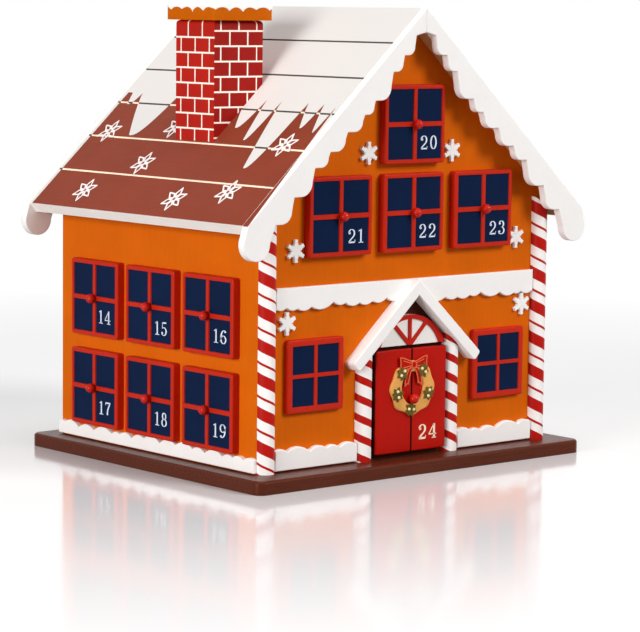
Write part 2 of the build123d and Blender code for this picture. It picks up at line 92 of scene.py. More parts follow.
level_back = np.array([np.sin(azimuth), -np.cos(azimuth), 0.0])
back = level_back * np.cos(elevation) + [0, 0, np.sin(elevation)]
level_right = np.array([np.cos(azimuth), np.sin(azimuth), 0.0])
level_up = np.cross(back, level_right)
right = level_right * np.cos(roll) + level_up * np.sin(roll)
up = level_up * np.cos(roll) - level_right * np.sin(roll)
aim = np.array([0, 0, aim_height]) + level_right * aim_shift
place = (aim + back * camera_distance) * MM
lens = bpy.data.cameras.new("photo_camera")
lens.sensor_width = sensor_width
lens.lens = sensor_width * focal_pixels / picture_width
camera = bpy.data.objects.new("photo_camera", lens)
bpy.context.collection.objects.link(camera)
camera.matrix_world = posed(np.stack([right, up, back], 1), place)
bpy.context.scene.camera = camera
print(f"camera {lens.lens:.1f} mm lens at {place.round(3)}")

# %% [markdown]
# ## Materials from nodes
# Paint on wood is never one flat colour: it is a little cloudy, and the brush and the grain below leave
# fine lines that catch the light. An image could hold all that, but noise from nodes has no seams and stays
# sharp close up. The helper `add` puts one node into a material, and takes a value or another node's output
# for each input, so that a finish reads as a short recipe.


# %% Node helpers
cloud_scale = 26.0
noise_low, noise_high = 0.3, 0.7
rough_swing = 0.08


def linear(red, green, blue):
    """Screen levels from 0 to 255 as linear light: ((c / 255 + 0.055) / 1.055) to the power 2.4."""
    level = np.array([red, green, blue]) / 255
    light = np.where(level <= 0.04045, level / 12.92, ((level + 0.055) / 1.055) ** 2.4)
    return (*light.tolist(), 1.0)


def add(tree, kind, inputs=(), output=0, **settings):
    """A new node: inputs pairs a socket's name or number with a value or with another node's output."""
    node = tree.nodes.new(kind)
    for key, value in settings.items():
        setattr(node, key, value)
    for key, value in dict(inputs).items():
        if isinstance(value, bpy.types.NodeSocket):
            tree.links.new(value, node.inputs[key])
        else:
            node.inputs[key].default_value = value
    return node.outputs[output]


def mixed(tree, factor, first, second):
    """The first colour where the factor is 0 and the second where it is 1."""
    return add(tree, "ShaderNodeMix", {0: factor, 6: first, 7: second}, 2, data_type="RGBA")


def sums(tree, operation, first, second=0.0, third=0.0):
    """One step of arithmetic."""
    return add(tree, "ShaderNodeMath", {0: first, 1: second, 2: third}, operation=operation)


def ranged(tree, value, low, high, new_low, new_high):
    """The value carried from one range to another and held inside it."""
    pairs = {"Value": value, 1: low, 2: high, 3: new_low, 4: new_high}
    return add(tree, "ShaderNodeMapRange", pairs)


def parted(tree, coords):
    """The three coordinates one by one."""
    return add(tree, "ShaderNodeSeparateXYZ", {0: coords}).node.outputs


def new_finish(name, gloss=0.1):
    """An empty material, its node tree, its shader and the object's own coordinates; gloss is how strongly
    the surface mirrors the room."""
    material = bpy.data.materials.new(name)
    material.use_nodes = True
    tree = material.node_tree
    shader = tree.nodes["Principled BSDF"]
    shader.inputs["Specular IOR Level"].default_value = gloss
    return material, tree, shader, add(tree, "ShaderNodeTexCoord", output=3)


def brushed(tree, shader, coords, colour, roughness, tone, strokes, relief):
    """Paint: slow clouds make the colour lighter and darker by the tone share, and noise stretched along
    the strokes roughens it and lifts it by the relief in millimetres."""
    clouds = add(tree, "ShaderNodeTexNoise", {"Vector": coords, "Scale": cloud_scale, "Detail": 4.0})
    stretched = add(tree, "ShaderNodeMapping", {"Vector": coords, "Scale": strokes})
    lines = add(tree, "ShaderNodeTexNoise", {"Vector": stretched, "Scale": 1.0, "Detail": 5.0})
    light = ranged(tree, clouds, noise_low, noise_high, 1 - tone, 1 + tone)
    shade = ranged(tree, lines, noise_low, noise_high, 1 - tone / 2, 1 + tone / 2)
    value = sums(tree, "MULTIPLY", light, shade)
    toned = add(tree, "ShaderNodeHueSaturation", {"Value": value, "Color": colour})
    tree.links.new(toned, shader.inputs["Base Color"])
    rough = ranged(tree, lines, noise_low, noise_high, roughness - rough_swing, roughness + rough_swing)
    tree.links.new(rough, shader.inputs["Roughness"])
    bump = add(tree, "ShaderNodeBump", {"Strength": 0.5, "Distance": relief * MM, "Height": lines})
    tree.links.new(bump, shader.inputs["Normal"])
    return toned


def painted(name, colour, roughness, tone, strokes, relief, gloss=0.1):
    """A plain painted finish of one colour."""
    material, tree, shader, coords = new_finish(name, gloss)
    brushed(tree, shader, coords, colour, roughness, tone, strokes, relief)
    return material


def two_tone(name, colour, second, where, roughness, tone, strokes, relief, gloss=0.1):
    """A painted finish with a second colour where a test gives 1; where(tree, coords) builds that test."""
    material, tree, shader, coords = new_finish(name, gloss)
    toned = brushed(tree, shader, coords, colour, roughness, tone, strokes, relief)
    tree.links.new(mixed(tree, where(tree, coords), toned, second), shader.inputs["Base Color"])
    return material


# %% [markdown]
# ## The painter's palette
# Every colour was read from the photograph and then taken back from its light and shade: the walls are a
# warm orange brown, the windows a clear red round navy panes, and all the icing a slightly warm white.
# Blender wants linear light, but screen levels are easier to compare with a picture, so the colours are
# written as levels and a helper changes them. After the colour each line gives the roughness, the
# cloudiness, the strokes, their relief and the gloss.

# %% Plain finishes
icing_colour = linear(244, 240, 237)
wall_orange = linear(210, 97, 9)
white_paint = painted("icing_white_paint", icing_colour, 0.55, 0.015, (300, 300, 300), 0.05)
orange_paint = painted("gingerbread_orange_paint", wall_orange, 0.42, 0.06, (500, 500, 40), 0.06, 0.03)
red_paint = painted("window_red_paint", linear(188, 36, 11), 0.33, 0.05, (700, 700, 90), 0.05, 0.1)
navy_paint = painted("pane_navy_paint", linear(10, 28, 59), 0.45, 0.10, (600, 600, 200), 0.04, 0.03)
knob_paint = painted("knob_red_lacquer", linear(192, 26, 8), 0.24, 0.04, (300, 300, 300), 0.02, 0.16)
number_paint = painted("number_white_paint", linear(226, 233, 246), 0.5, 0.03, (900, 900, 900), 0.02)
base_paint = painted("base_brown_paint", linear(82, 34, 20), 0.3, 0.08, (60, 900, 900), 0.05, 0.1)
door_paint = painted("door_red_paint", linear(177, 20, 8), 0.36, 0.07, (1100, 1100, 25), 0.08, 0.06)
# Dark brown for the door's side faces and its groove: painted shade in the recess between the posts and in
# the groove.
edge_painted_shade = painted("door_edge_stain", linear(56, 14, 10), 0.5, 0.08, (900, 900, 60), 0.06, 0.05)
cap_paint = painted("cap_orange_paint", linear(190, 90, 2), 0.4, 0.10, (300, 300, 300), 0.08, 0.03)
base_shader = base_paint.node_tree.nodes["Principled BSDF"]
base_shader.inputs["Specular Tint"].default_value = (1.0, 0.78, 0.6, 1.0)
print(len(bpy.data.materials), "finishes so far")

# %% [markdown]
# ## Finishes that know where they are
# Under the porch the wall is painted dark brown, right up to the sloping boards: painted shade, where the
# porch keeps the light off the wall. The shade could be a thin dark board of its own, but painted shade has
# no thickness, so it is part of the paint. A finish can find such a place by itself: the object's coordinates
# go through a few steps of arithmetic, and the result, 0 or 1, chooses between two colours. Bare plywood,
# which shows inside the drawers, mixes in flecks the same way.

# %% Entrance
slope = np.tan(np.radians(42.45))
porch_shift = 2.5
entrance_half = 33.6
entrance_top = 121.4


def up_the_slope(tree, spot, shift=0.0):
    """The distance from the middle, |x - shift|, and the height plus the slope times that distance."""
    from_middle = sums(tree, "ABSOLUTE", sums(tree, "SUBTRACT", spot[0], shift * MM))
    return from_middle, sums(tree, "MULTIPLY_ADD", from_middle, float(slope), spot[2])


def under_porch(tree, coords):
    """1 where |x| is less than the door's half width, and the height plus the slope times the distance
    from the porch's middle is less than the top of the porch's inner line."""
    spot = parted(tree, coords)
    within = sums(tree, "LESS_THAN", sums(tree, "ABSOLUTE", spot[0]), entrance_half * MM)
    below = sums(tree, "LESS_THAN", up_the_slope(tree, spot, porch_shift)[1], entrance_top * MM)
    return sums(tree, "MULTIPLY", within, below)


# The second colour, dark brown under the porch, is painted shade: the porch keeps the light off that part of
# the wall.
porch_shade_paint = two_tone("front_wall_paint", wall_orange, linear(70, 28, 16), under_porch,
                          0.42, 0.06, (500, 500, 40), 0.06, 0.03)
print("painted brown shade under the porch, up to", entrance_top, "mm")


# %% Bare plywood
layer_scale, layer_bend = 190.0, 1.5
fleck_start, fleck_share = 0.55, 0.25


def flecks(tree, coords):
    """Darker pores and end layers: up to the fleck share of a second colour on the crests of a bent wave."""
    wave = {"Vector": coords, "Scale": layer_scale, "Distortion": layer_bend}
    layers = add(tree, "ShaderNodeTexWave", wave, 1, bands_direction="DIAGONAL")
    return ranged(tree, layers, fleck_start, 1.0, 0.0, fleck_share)


def plywood(name, colour):
    """Bare birch ply: pale grain stretched along the boards, with darker flecks."""
    return two_tone(name, colour, linear(150, 112, 70), flecks, 0.7, 0.09, (700, 60, 700), 0.12)


bare_ply = plywood("bare_ply", linear(214, 182, 138))
print(bare_ply.name, "has", len(bare_ply.node_tree.nodes), "nodes")

# %% [markdown]
# ## Shapes from numpy
# A surface is a grid of points: each row and column is one value of two parameters, and four neighbours
# make a face. The same forms could be pulled into shape in Edit Mode, but a formula follows the CAD model
# when a size changes. Most shapes below are closed, so the sign of a shape's volume says whether its faces
# point outwards, and the helper `shape` turns them round when they don't.


# %% Mesh helpers
crisp_angle = 35


def numbered(rows, columns):
    """The corners of a grid, numbered row by row."""
    return np.arange(rows * columns).reshape(rows, columns)


def cell_corners(values):
    """What a grid holds at the four corners of each of its faces, in the order round the face."""
    return values[:-1, :-1], values[:-1, 1:], values[1:, 1:], values[1:, :-1]


def quads(rows, columns, closed=False):
    """Corner numbers of the faces of a grid; closed joins the last column to the first."""
    corner = numbered(rows, columns)
    if closed:
        corner = np.column_stack([corner, corner[:, :1]])
    return np.stack(cell_corners(corner), -1).reshape(-1, 4)


def rim_of(rows, columns):
    """Corner numbers once round a grid's edge."""
    number = numbered(rows, columns)
    return np.concatenate([number[0, :-1], number[:-1, -1], number[-1, :0:-1], number[:0:-1, 0]])


def shape(points, grid, caps=(), finish=0):
    """A closed shape as (points, faces, finish numbers). Its volume is the sum of a . (b x c) / 6 over the
    triangles of its faces; if that is negative, every face is turned round."""
    points = np.asarray(points, float)
    triangles = [grid[:, [0, 1, 2]], grid[:, [0, 2, 3]]]
    for cap in caps:
        cap = np.asarray(cap)
        triangles.append(np.stack([np.full(len(cap) - 2, cap[0]), cap[1:-1], cap[2:]], 1))
    a, b, c = (points[np.concatenate(triangles)[:, corner]] for corner in range(3))
    volume = np.einsum("ij,ij->", a, np.cross(b, c)) / 6
    faces = grid.tolist() + [np.asarray(cap).tolist() for cap in caps]
    if volume < 0:
        faces = [face[::-1] for face in faces]
    numbers = np.zeros(len(faces), int)
    numbers[:len(grid)] = finish
    numbers[len(grid):] = np.ravel(finish)[0]
    return points, faces, numbers


def tube(rings, finish=0):
    """A closed shape from rings of points: each is joined to the next, and a face closes either end."""
    number = numbered(*rings.shape[:2])
    return shape(rings.reshape(-1, 3), quads(*number.shape, True), [number[0, ::-1], number[-1]], finish)


def at_levels(rings, level):
    """Flat rings, each lifted to its level."""
    return np.concatenate([rings, np.broadcast_to(level[:, None, None], rings.shape[:2] + (1,))], 2)


def spun(points, angle):
    """Flat points turned counter-clockwise: (x cos - y sin, x sin + y cos)."""
    return points @ np.array([[np.cos(angle), np.sin(angle)], [-np.sin(angle), np.cos(angle)]])


def shifted(part, offset):
    """A shape moved by an offset."""
    points, faces, numbers = part
    return points + offset, faces, numbers


def joined(shapes):
    """Several shapes as one."""
    faces, start = [], 0
    for points, own_faces, _ in shapes:
        faces += [[corner + start for corner in face] for face in own_faces]
        start += len(points)
    return np.concatenate([part[0] for part in shapes]), faces, np.concatenate([part[2] for part in shapes])


def make(name, parts, body, finishes, replaces):
    """A Blender object from shapes in millimetres, riding on a body in place of CAD nodes; edges above the
    crisp angle stay sharp."""
    points, faces, numbers = joined(parts)
    mesh = bpy.data.meshes.new(name)
    mesh.from_pydata((points * MM).tolist(), [], faces)
    for finish in finishes:
        mesh.materials.append(finish)
    mesh.polygons.foreach_set("material_index", numbers.astype(np.int32))
    mesh.polygons.foreach_set("use_smooth", np.ones(len(faces), bool))
    mesh.set_sharp_from_angle(angle=np.radians(crisp_angle))
    piece = bpy.data.objects.new(name, mesh)
    bpy.context.collection.objects.link(piece)
    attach(piece, body)
    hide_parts(*replaces)
    return piece


def slab(outline, back_level, front_level, ease=0.6, finish=0):
    """A flat piece with eased front edges: the outline, counter-clockwise, is carried from its back up the
    side, round a quarter circle of the ease radius and on to its face. Inset points lie on the bisector of
    their two neighbours' normals. Returned as (across, up, out)."""
    ahead = np.roll(outline, -1, 0) - outline
    normal = np.stack([ahead[:, 1], -ahead[:, 0]], 1) / np.linalg.norm(ahead, axis=1, keepdims=True)
    before = np.roll(normal, 1, 0)
    share = 1 + np.sum(normal * before, 1, keepdims=True)
    bisector = (normal + before) / np.maximum(share, 0.3)
    turn = np.radians([0, 30, 60, 90])
    inset = np.concatenate([[0], ease * (1 - np.cos(turn)), [ease * 1.5]])
    level = np.concatenate([[back_level], front_level - ease + ease * np.sin(turn), [front_level]])
    rings = outline[None] - inset[:, None, None] * bisector[None]
    return tube(at_levels(rings, level), finish)


def rectangle(left, right_side, foot, top):
    """Corners of a rectangle, counter-clockwise."""
    return np.array([(left, foot), (right_side, foot), (right_side, top), (left, top)], float)


# %% [markdown]
# ## Four walls, one way to draw on them
# Drawers, posts and trim all sit on a wall, so they are drawn in wall coordinates: across to the right as
# seen from outside, up, and outwards. One small table carries such points to each of the four walls. The
# objects could be turned instead, but then their patterns of paint would turn with them. The plain boards
# keep their CAD shape, and a bevel rounds the edges of most of them as sandpaper does.

# %% Wall coordinates
wall_axes = {
    "front": ((1, 0, 0), (0, -1, 0), front_reach),
    "right": ((0, 1, 0), (1, 0, 0), half_width),
    "back": ((-1, 0, 0), (0, 1, 0), back_reach),
    "left": ((0, -1, 0), (-1, 0, 0), half_width),
}


def on_wall(side, part, across=0.0, height=0.0):
    """A shape in wall coordinates, moved across and up, carried to a wall."""
    along, out, distance = (np.array(value, float) for value in wall_axes[side])
    points, faces, numbers = part
    spread = (points[:, :1] + across) * along + (points[:, 2:] + distance) * out
    return spread + np.array([0, 0, 1]) * (points[:, 1:2] + height), faces, numbers


def repaint(node, finish):
    """Keeps a CAD board and gives it one finish."""
    piece = frame["nodes"][node]
    piece.data.materials.clear()
    piece.data.materials.append(finish)
    return piece


def eased(node, finish, width=0.5):
    """Keeps a CAD board with a finish, its edges rounded over by a bevel."""
    piece = repaint(node, finish)
    weld = piece.modifiers.new("weld", "WELD")
    weld.merge_threshold = 1e-6
    flat = piece.modifiers.new("flat", "DECIMATE")
    flat.decimate_type = "DISSOLVE"
    flat.angle_limit = np.radians(1)
    bevel = piece.modifiers.new("ease", "BEVEL")
    bevel.width = width * MM
    bevel.segments = 3
    bevel.limit_method = "ANGLE"
    bevel.angle_limit = np.radians(crisp_angle)
    bevel.use_clamp_overlap = True


repaint("front_wall", porch_shade_paint)
for node in ("back_wall", "left_wall", "right_wall"):
    repaint(node, orange_paint)
icing_nodes = [
    "barge_front_left", "barge_front_right", "barge_back_left", "barge_back_right", "snowflakes",
]
for node in icing_nodes:
    eased(node, white_paint)
eased("base_board", base_paint)
inner_nodes = [
    "attic_floor", "inner_wall_left", "inner_wall_right", "side_shelves", "side_dividers", "back_shelves",
    "back_dividers", "door_drawer_bed", "attic_dividers", "gable_shelf",
]
inner_ease = 0.3
for node in inner_nodes:
    eased(node, bare_ply, inner_ease)
print(len(icing_nodes), "icing boards and", len(inner_nodes), "inner boards keep their CAD shape")

# %% [markdown]
# ## Icing on the walls
# Snow lies along the foot of the walls and a band of icing hangs across the front, both sawn by hand, so no
# two scallops are alike. A sine wave would be shorter to write, but all its scallops would be the same. So
# an edge is a row of cusps, and between two cusps the wood bulges by a share of their distance. A hair of
# shadow under the snow shows that it stands on the base without being part of it.

# %% Scalloped edges
bulge_share = 0.17
foot_gap = 1.0
band_left_cusps = [
    (-8.0, 119.2), (-21.2, 120.1), (-33.9, 118.8), (-45.6, 118.3), (-58.2, 119.0), (-68.9, 120.3),
    (-88.2, 118.2), (-100.3, 117.7), (-109.8, 118.8), (-118.6, 118.2),
]
band_right_cusps = [
    (118.6, 117.4), (106.9, 117.2), (100.0, 116.4), (86.1, 117.8), (67.5, 118.9), (56.9, 117.4),
    (45.3, 116.9), (33.9, 117.5), (13.0, 119.2),
]
foot_left_cusps = [
    (-46.8, 21.8), (-62.4, 21.5), (-73.9, 22.2), (-88.9, 21.4), (-108.1, 22.6), (-118.6, 23.4),
]
foot_right_cusps = [
    (118.6, 22.6), (105.6, 22.2), (84.2, 21.0), (69.5, 20.9), (59.7, 21.6), (46.8, 22.4),
]
side_cusps = [
    (110.5, 19.0), (100.2, 17.8), (88.6, 18.2), (78.0, 17.5), (58.6, 17.3), (45.5, 18.4), (26.7, 18.4),
    (8.8, 17.6), (-9.4, 18.6), (-23.3, 16.9), (-37.3, 17.8), (-46.7, 17.0), (-68.1, 16.7), (-86.3, 16.8),
    (-103.5, 18.6), (-110.5, 18.8),
]


def scalloped(cusps, bulge):
    """A row of arcs from cusp to cusp: the straight way plus four times the bulge times t (1 - t) upwards,
    where the bulge is a share of the two cusps' distance."""
    t = np.linspace(0, 1, 10)[:-1]
    arcs = []
    for start, end in zip(cusps[:-1], cusps[1:]):
        straight = np.array(start) + t[:, None] * (np.array(end) - start)
        rise = 4 * bulge * abs(end[0] - start[0]) * t * (1 - t)
        arcs.append(straight + np.stack([0 * rise, rise], 1))
    return np.concatenate([*arcs, np.array(cusps[-1:])])


def foot_strip(cusps, thickness):
    """Snow on the base: scallops above, and a straight foot just clear of the base."""
    foot = base_top + foot_gap
    edge = scalloped(cusps, bulge_share)
    return slab(np.concatenate([edge, [(edge[-1, 0], foot), (edge[0, 0], foot)]]), 0, thickness)


def hanging_band(cusps, left, right_side, thickness):
    """Icing under a straight top from left to right: the scallops bulge downwards, and the row is taken
    backwards to stay counter-clockwise."""
    edge = scalloped(cusps, -bulge_share)[::-1]
    return slab(np.concatenate([edge, [(right_side, band_top), (left, band_top)]]), 0, thickness)


def icing_look(node, parts, side="front", across=0.0):
    """White icing on a wall, in place of a CAD node."""
    placed = [on_wall(side, part, across) for part in parts]
    make(f"{node}_look", placed, "house", [white_paint], [node])


band_low, band_high = box_mm("icing_band")
foot_low, foot_high = box_mm("base_snow_front")
side_low, side_high = box_mm("base_snow_left")
band_thickness = band_high[1] - band_low[1]
foot_thickness = foot_high[1] - foot_low[1]
band_top = band_high[2]
icing_look("icing_band", [hanging_band(band_left_cusps, band_low[0], porch_shift, band_thickness),
                          hanging_band(band_right_cusps, porch_shift, band_high[0], band_thickness)])
icing_look("base_snow_front", [foot_strip(foot_left_cusps, foot_thickness),
                               foot_strip(foot_right_cusps, foot_thickness)])
side_strip = foot_strip(side_cusps, side_high[0] - side_low[0])
side_middle = (side_low[1] + side_high[1]) / 2
for side, way in (("left", -1), ("right", 1)):
    icing_look(f"base_snow_{side}", [side_strip], side, way * side_middle)
print("a band, and snow along three walls")

# %% [markdown]
# ## Porch
# The porch is two boards at the roof's slope that meet above the door, glued a little to the right of its
# middle. Two turned boxes would cut into each other where they meet, so one outline runs round both boards
# and is carried out from the wall.

# %% Porch
porch_low, porch_high = box_mm("porch_rafter_left")
porch_top = porch_high[2]
porch_depth = porch_high[1] - porch_low[1]
porch_board = 8.0
porch_ends = (-59.0, 59.0)
porch_round = 2.5


def rounded(before, corner, after):
    """A corner eased by a curve: (1 - t)^2 a + 2 t (1 - t) corner + t^2 b, between the points a and b that
    lie one radius away from it."""
    t = np.linspace(0, 1, 7)[:, None]
    corner = np.array(corner)
    ways = [np.array(spot) - corner for spot in (before, after)]
    a, b = (corner + porch_round * way / np.linalg.norm(way) for way in ways)
    return a * (1 - t) ** 2 + 2 * corner * t * (1 - t) + b * t**2


def porch_outline():
    """An inverted V, counter-clockwise: the outer line falls from the top at the slope, the inner line runs
    a board's width below it, and each end is cut square across the board with rounded corners."""
    cos, sin = 1 / np.hypot(1, slope), slope / np.hypot(1, slope)
    top, inner_top = (0, porch_top), (0, porch_top - porch_board / cos)
    ends = []
    for x in porch_ends:
        outer = np.array([x, porch_top - abs(x) * slope])
        ends.append((outer, outer + porch_board * np.array([-np.sign(x) * sin, -cos])))
    (left_outer, left_inner), (right_outer, right_inner) = ends
    outline = [
        [top], rounded(top, left_outer, left_inner), rounded(left_outer, left_inner, inner_top),
        [inner_top], rounded(inner_top, right_inner, right_outer), rounded(right_inner, right_outer, top),
    ]
    return np.concatenate(outline) + [porch_shift, 0]


porch = on_wall("front", slab(porch_outline(), 0, porch_depth))
porch_nodes = ["porch_rafter_left", "porch_rafter_right"]
make("porch_look", [porch], "house", [white_paint], porch_nodes)
print("porch shifted by", porch_shift, "mm")

# %% [markdown]
# ## Window fronts
# Each window is one board with four shallow panes routed out of it. Four boxes could be cut out of a block,
# but a height field gives the sunk panes and the rounded edge in one surface: across and up, the height is
# 0 on a bar and minus the recess in a pane, and where the two directions meet the larger wins, so the bars
# cross cleanly. The outer lines roll over the edge and down the side.

# %% Window board
window_low, window_high = box_mm("drawer_21")
window_width = window_high[0] - window_low[0]
window_height = window_high[2] - window_low[2]
front_thickness = 6.0
bar = 2.9
recess = 0.8
bar_slope = 0.25
edge_ease = 1.1
corner_round = 1.8
RED, NAVY, KNOB, PLY, NUMBER = range(5)


def grid_lines(half, thickness, panes, cross, edge):
    """Lines from the middle to the edge: their distance, how far the face has dropped there by rolling over
    the edge on a quarter circle, and how deep a pane lies between the cross bar and the edge bar."""
    turn = np.radians([0, 22.5, 45, 67.5, 90])
    inner = [0, cross / 2, cross / 2 + bar_slope, half / 2, half - edge - bar_slope, half - edge]
    depth = [0, 0, recess, recess, recess, 0]
    if not panes:
        inner, depth = [0, half / 2], [0, 0]
    reach = np.concatenate([inner, half - edge_ease + edge_ease * np.sin(turn), [half]])
    drop = np.concatenate([np.zeros(len(inner)), edge_ease * (1 - np.cos(turn)), [thickness]])
    depth = np.concatenate([depth, np.zeros(len(turn) + 1)])
    return (np.concatenate([-reach[:0:-1], reach]), np.concatenate([drop[:0:-1], drop]),
            np.concatenate([depth[:0:-1], depth]))


def front_board(width, height, thickness, groove=None, cross=bar, edge=bar):
    """A board's face as a height field, closed at the back; face numbers give navy panes in a red frame, and
    a board with a groove has no panes, but its edges and its groove in the second finish. Near a corner a
    point keeps its greatest distance from the corner's centre, which rounds the corner."""
    panes = not groove
    reach_u, drop_u, depth_u = grid_lines(width / 2, thickness, panes, cross, edge)
    reach_w, drop_w, depth_w = grid_lines(height / 2, thickness, panes, cross, edge)
    if groove:
        extra = np.array([-groove, -groove / 2, groove / 2, groove])
        order = np.argsort(np.concatenate([reach_u, extra]), kind="stable")
        reach_u = np.concatenate([reach_u, extra])[order]
        drop_u = np.concatenate([drop_u, [0, 0, 0, 0]])[order]
        depth_u = np.where(np.abs(reach_u) < groove * 0.4, recess, 0.0)
    across, upward = np.meshgrid(reach_u, reach_w)
    drop = np.maximum(drop_u[None], drop_w[:, None])
    sunk = depth_u[None] + 0 * depth_w[:, None] if groove else np.minimum(depth_u[None], depth_w[:, None])
    sunk = np.where(drop > edge_ease * 0.9, 0, sunk)
    over_u = np.abs(across) - (width / 2 - corner_round)
    over_w = np.abs(upward) - (height / 2 - corner_round)
    corner = (over_u > 0) & (over_w > 0)
    pull = np.where(corner, np.maximum(over_u, over_w) / np.maximum(np.hypot(over_u, over_w), 1e-9), 1.0)
    across = np.where(corner, np.sign(across) * (width / 2 - corner_round + over_u * pull), across)
    upward = np.where(corner, np.sign(upward) * (height / 2 - corner_round + over_w * pull), upward)
    points = np.stack([across, upward, thickness - drop - sunk], -1).reshape(-1, 3)
    pane = np.all([corner == recess for corner in cell_corners(sunk)], 0)
    lowest = np.max(cell_corners(drop), 0)
    # On the door the side faces and the groove take the second finish, a dark brown that is painted shade.
    shaded_edges = (lowest > edge_ease * 1.1) | (sunk[:-1, :-1] + sunk[1:, 1:] > 0)
    finish = np.where(pane if panes else shaded_edges, NAVY, RED)
    return shape(points, quads(*across.shape), [rim_of(*across.shape)[::-1]], finish.ravel())


print(f"window fronts {window_width:.1f} x {window_height:.1f} mm with bars of {bar} mm")


# %% [markdown]
# ## Knobs and trays
# A knob is turned on a lathe: a profile of radius and height carried round its axis. Here it is a ball on
# a short neck. The Screw modifier turns profiles too, but it would turn everything in the drawer's mesh.
# Behind each front is an open tray of four thin boards.


# %% Knob and tray
knob_radius = 3.4
knob_height = 6.2
neck_radius = 0.62 * knob_radius
neck_angle, pole_angle = -52, 86
tray_board = 2.5
tray_ease = 0.25


def turned(radius, level, steps=28, finish=0):
    """A surface of revolution: the profile's points at each angle, with both ends closed by a face."""
    angle = np.linspace(0, 2 * np.pi, steps, endpoint=False)
    rings = np.stack([np.outer(radius, np.cos(angle)), np.outer(radius, np.sin(angle)),
                      np.repeat(np.asarray(level)[:, None], steps, 1)], -1)
    return tube(rings, finish)


def ball_knob(base_level):
    """A ball on a neck: the neck's radius swells into a circle that ends near the pole."""
    turn = np.radians(np.linspace(neck_angle, pole_angle, 14))
    ball = knob_height - knob_radius
    radius = np.concatenate([[neck_radius], knob_radius * np.cos(turn)])
    level = np.concatenate([[0], ball + knob_radius * np.sin(turn)])
    return turned(radius, base_level + np.maximum(level, 0), finish=KNOB)


def tray(width, height, depth):
    """Bottom, sides and back of an open tray, as eased boards from the depth to their front."""
    left, right_side, foot, top = -width / 2, width / 2, -height / 2, height / 2
    floor = foot + tray_board
    inner_left, inner_right = left + tray_board, right_side - tray_board
    boards = [
        (rectangle(left, right_side, foot, floor), 0),
        (rectangle(left, inner_left, floor, top), 0),
        (rectangle(inner_right, right_side, floor, top), 0),
        (rectangle(inner_left, inner_right, floor, top), tray_board - depth),
    ]
    return [slab(outline, -depth, front, tray_ease, PLY) for outline, front in boards]


print("knobs", knob_height, "mm high, tray boards", tray_board, "mm thick")


# %% [markdown]
# ## Numbers
# The numbers are printed in an old-style face with thick stems and hairlines. A text object could write
# them, but Blender's own face has strokes of even width. A broad-nib pen draws such letters: the stroke is
# wide where it runs up or down and thin where it runs across. So each figure is a few paths, and the width
# at each point follows the path's direction.

# %% Figures drawn with a pen
thick_stroke, thin_stroke = 0.165, 0.05
figure_gap = 0.19
figure_lift = 0.15


def arc(x, y, radius_x, radius_y, start, end, steps=26):
    """Points on an ellipse from one angle to another, in degrees."""
    turn = np.radians(np.linspace(start, end, steps))
    return np.stack([x + radius_x * np.cos(turn), y + radius_y * np.sin(turn)], 1)


def curve(a, b, c, d):
    """A cubic curve from a to d with handles b and c: the sum of the four points by the binomial weights."""
    t = np.linspace(0, 1, 18)[:, None]
    a, b, c, d = (np.array(point, float) for point in (a, b, c, d))
    return a * (1 - t) ** 3 + 3 * b * t * (1 - t) ** 2 + 3 * c * t**2 * (1 - t) + d * t**3


def line(a, b):
    """A straight path in a few steps."""
    return np.linspace(a, b, 4)


def travel(path):
    """The direction of a path at each of its points, of length 1."""
    step = np.gradient(path, axis=0)
    return step / np.maximum(np.hypot(step[:, 0], step[:, 1]), 1e-9)[:, None]


def pen(path):
    """Widths along a path: thin plus the thick's surplus times how upright the path runs there."""
    return path, thin_stroke + (thick_stroke - thin_stroke) * np.abs(travel(path)[:, 1]) ** 1.4


def even(path, width):
    """A path of one width."""
    return path, np.full(len(path), width)


def dot(x, y, radius):
    """A round end, drawn as a short fat stroke that swells and shrinks like a circle."""
    turn = np.radians(np.linspace(-80, 80, 11))
    path = np.stack([x + radius * np.sin(turn), np.full(11, y)], 1)
    return path, 2 * radius * np.cos(turn)


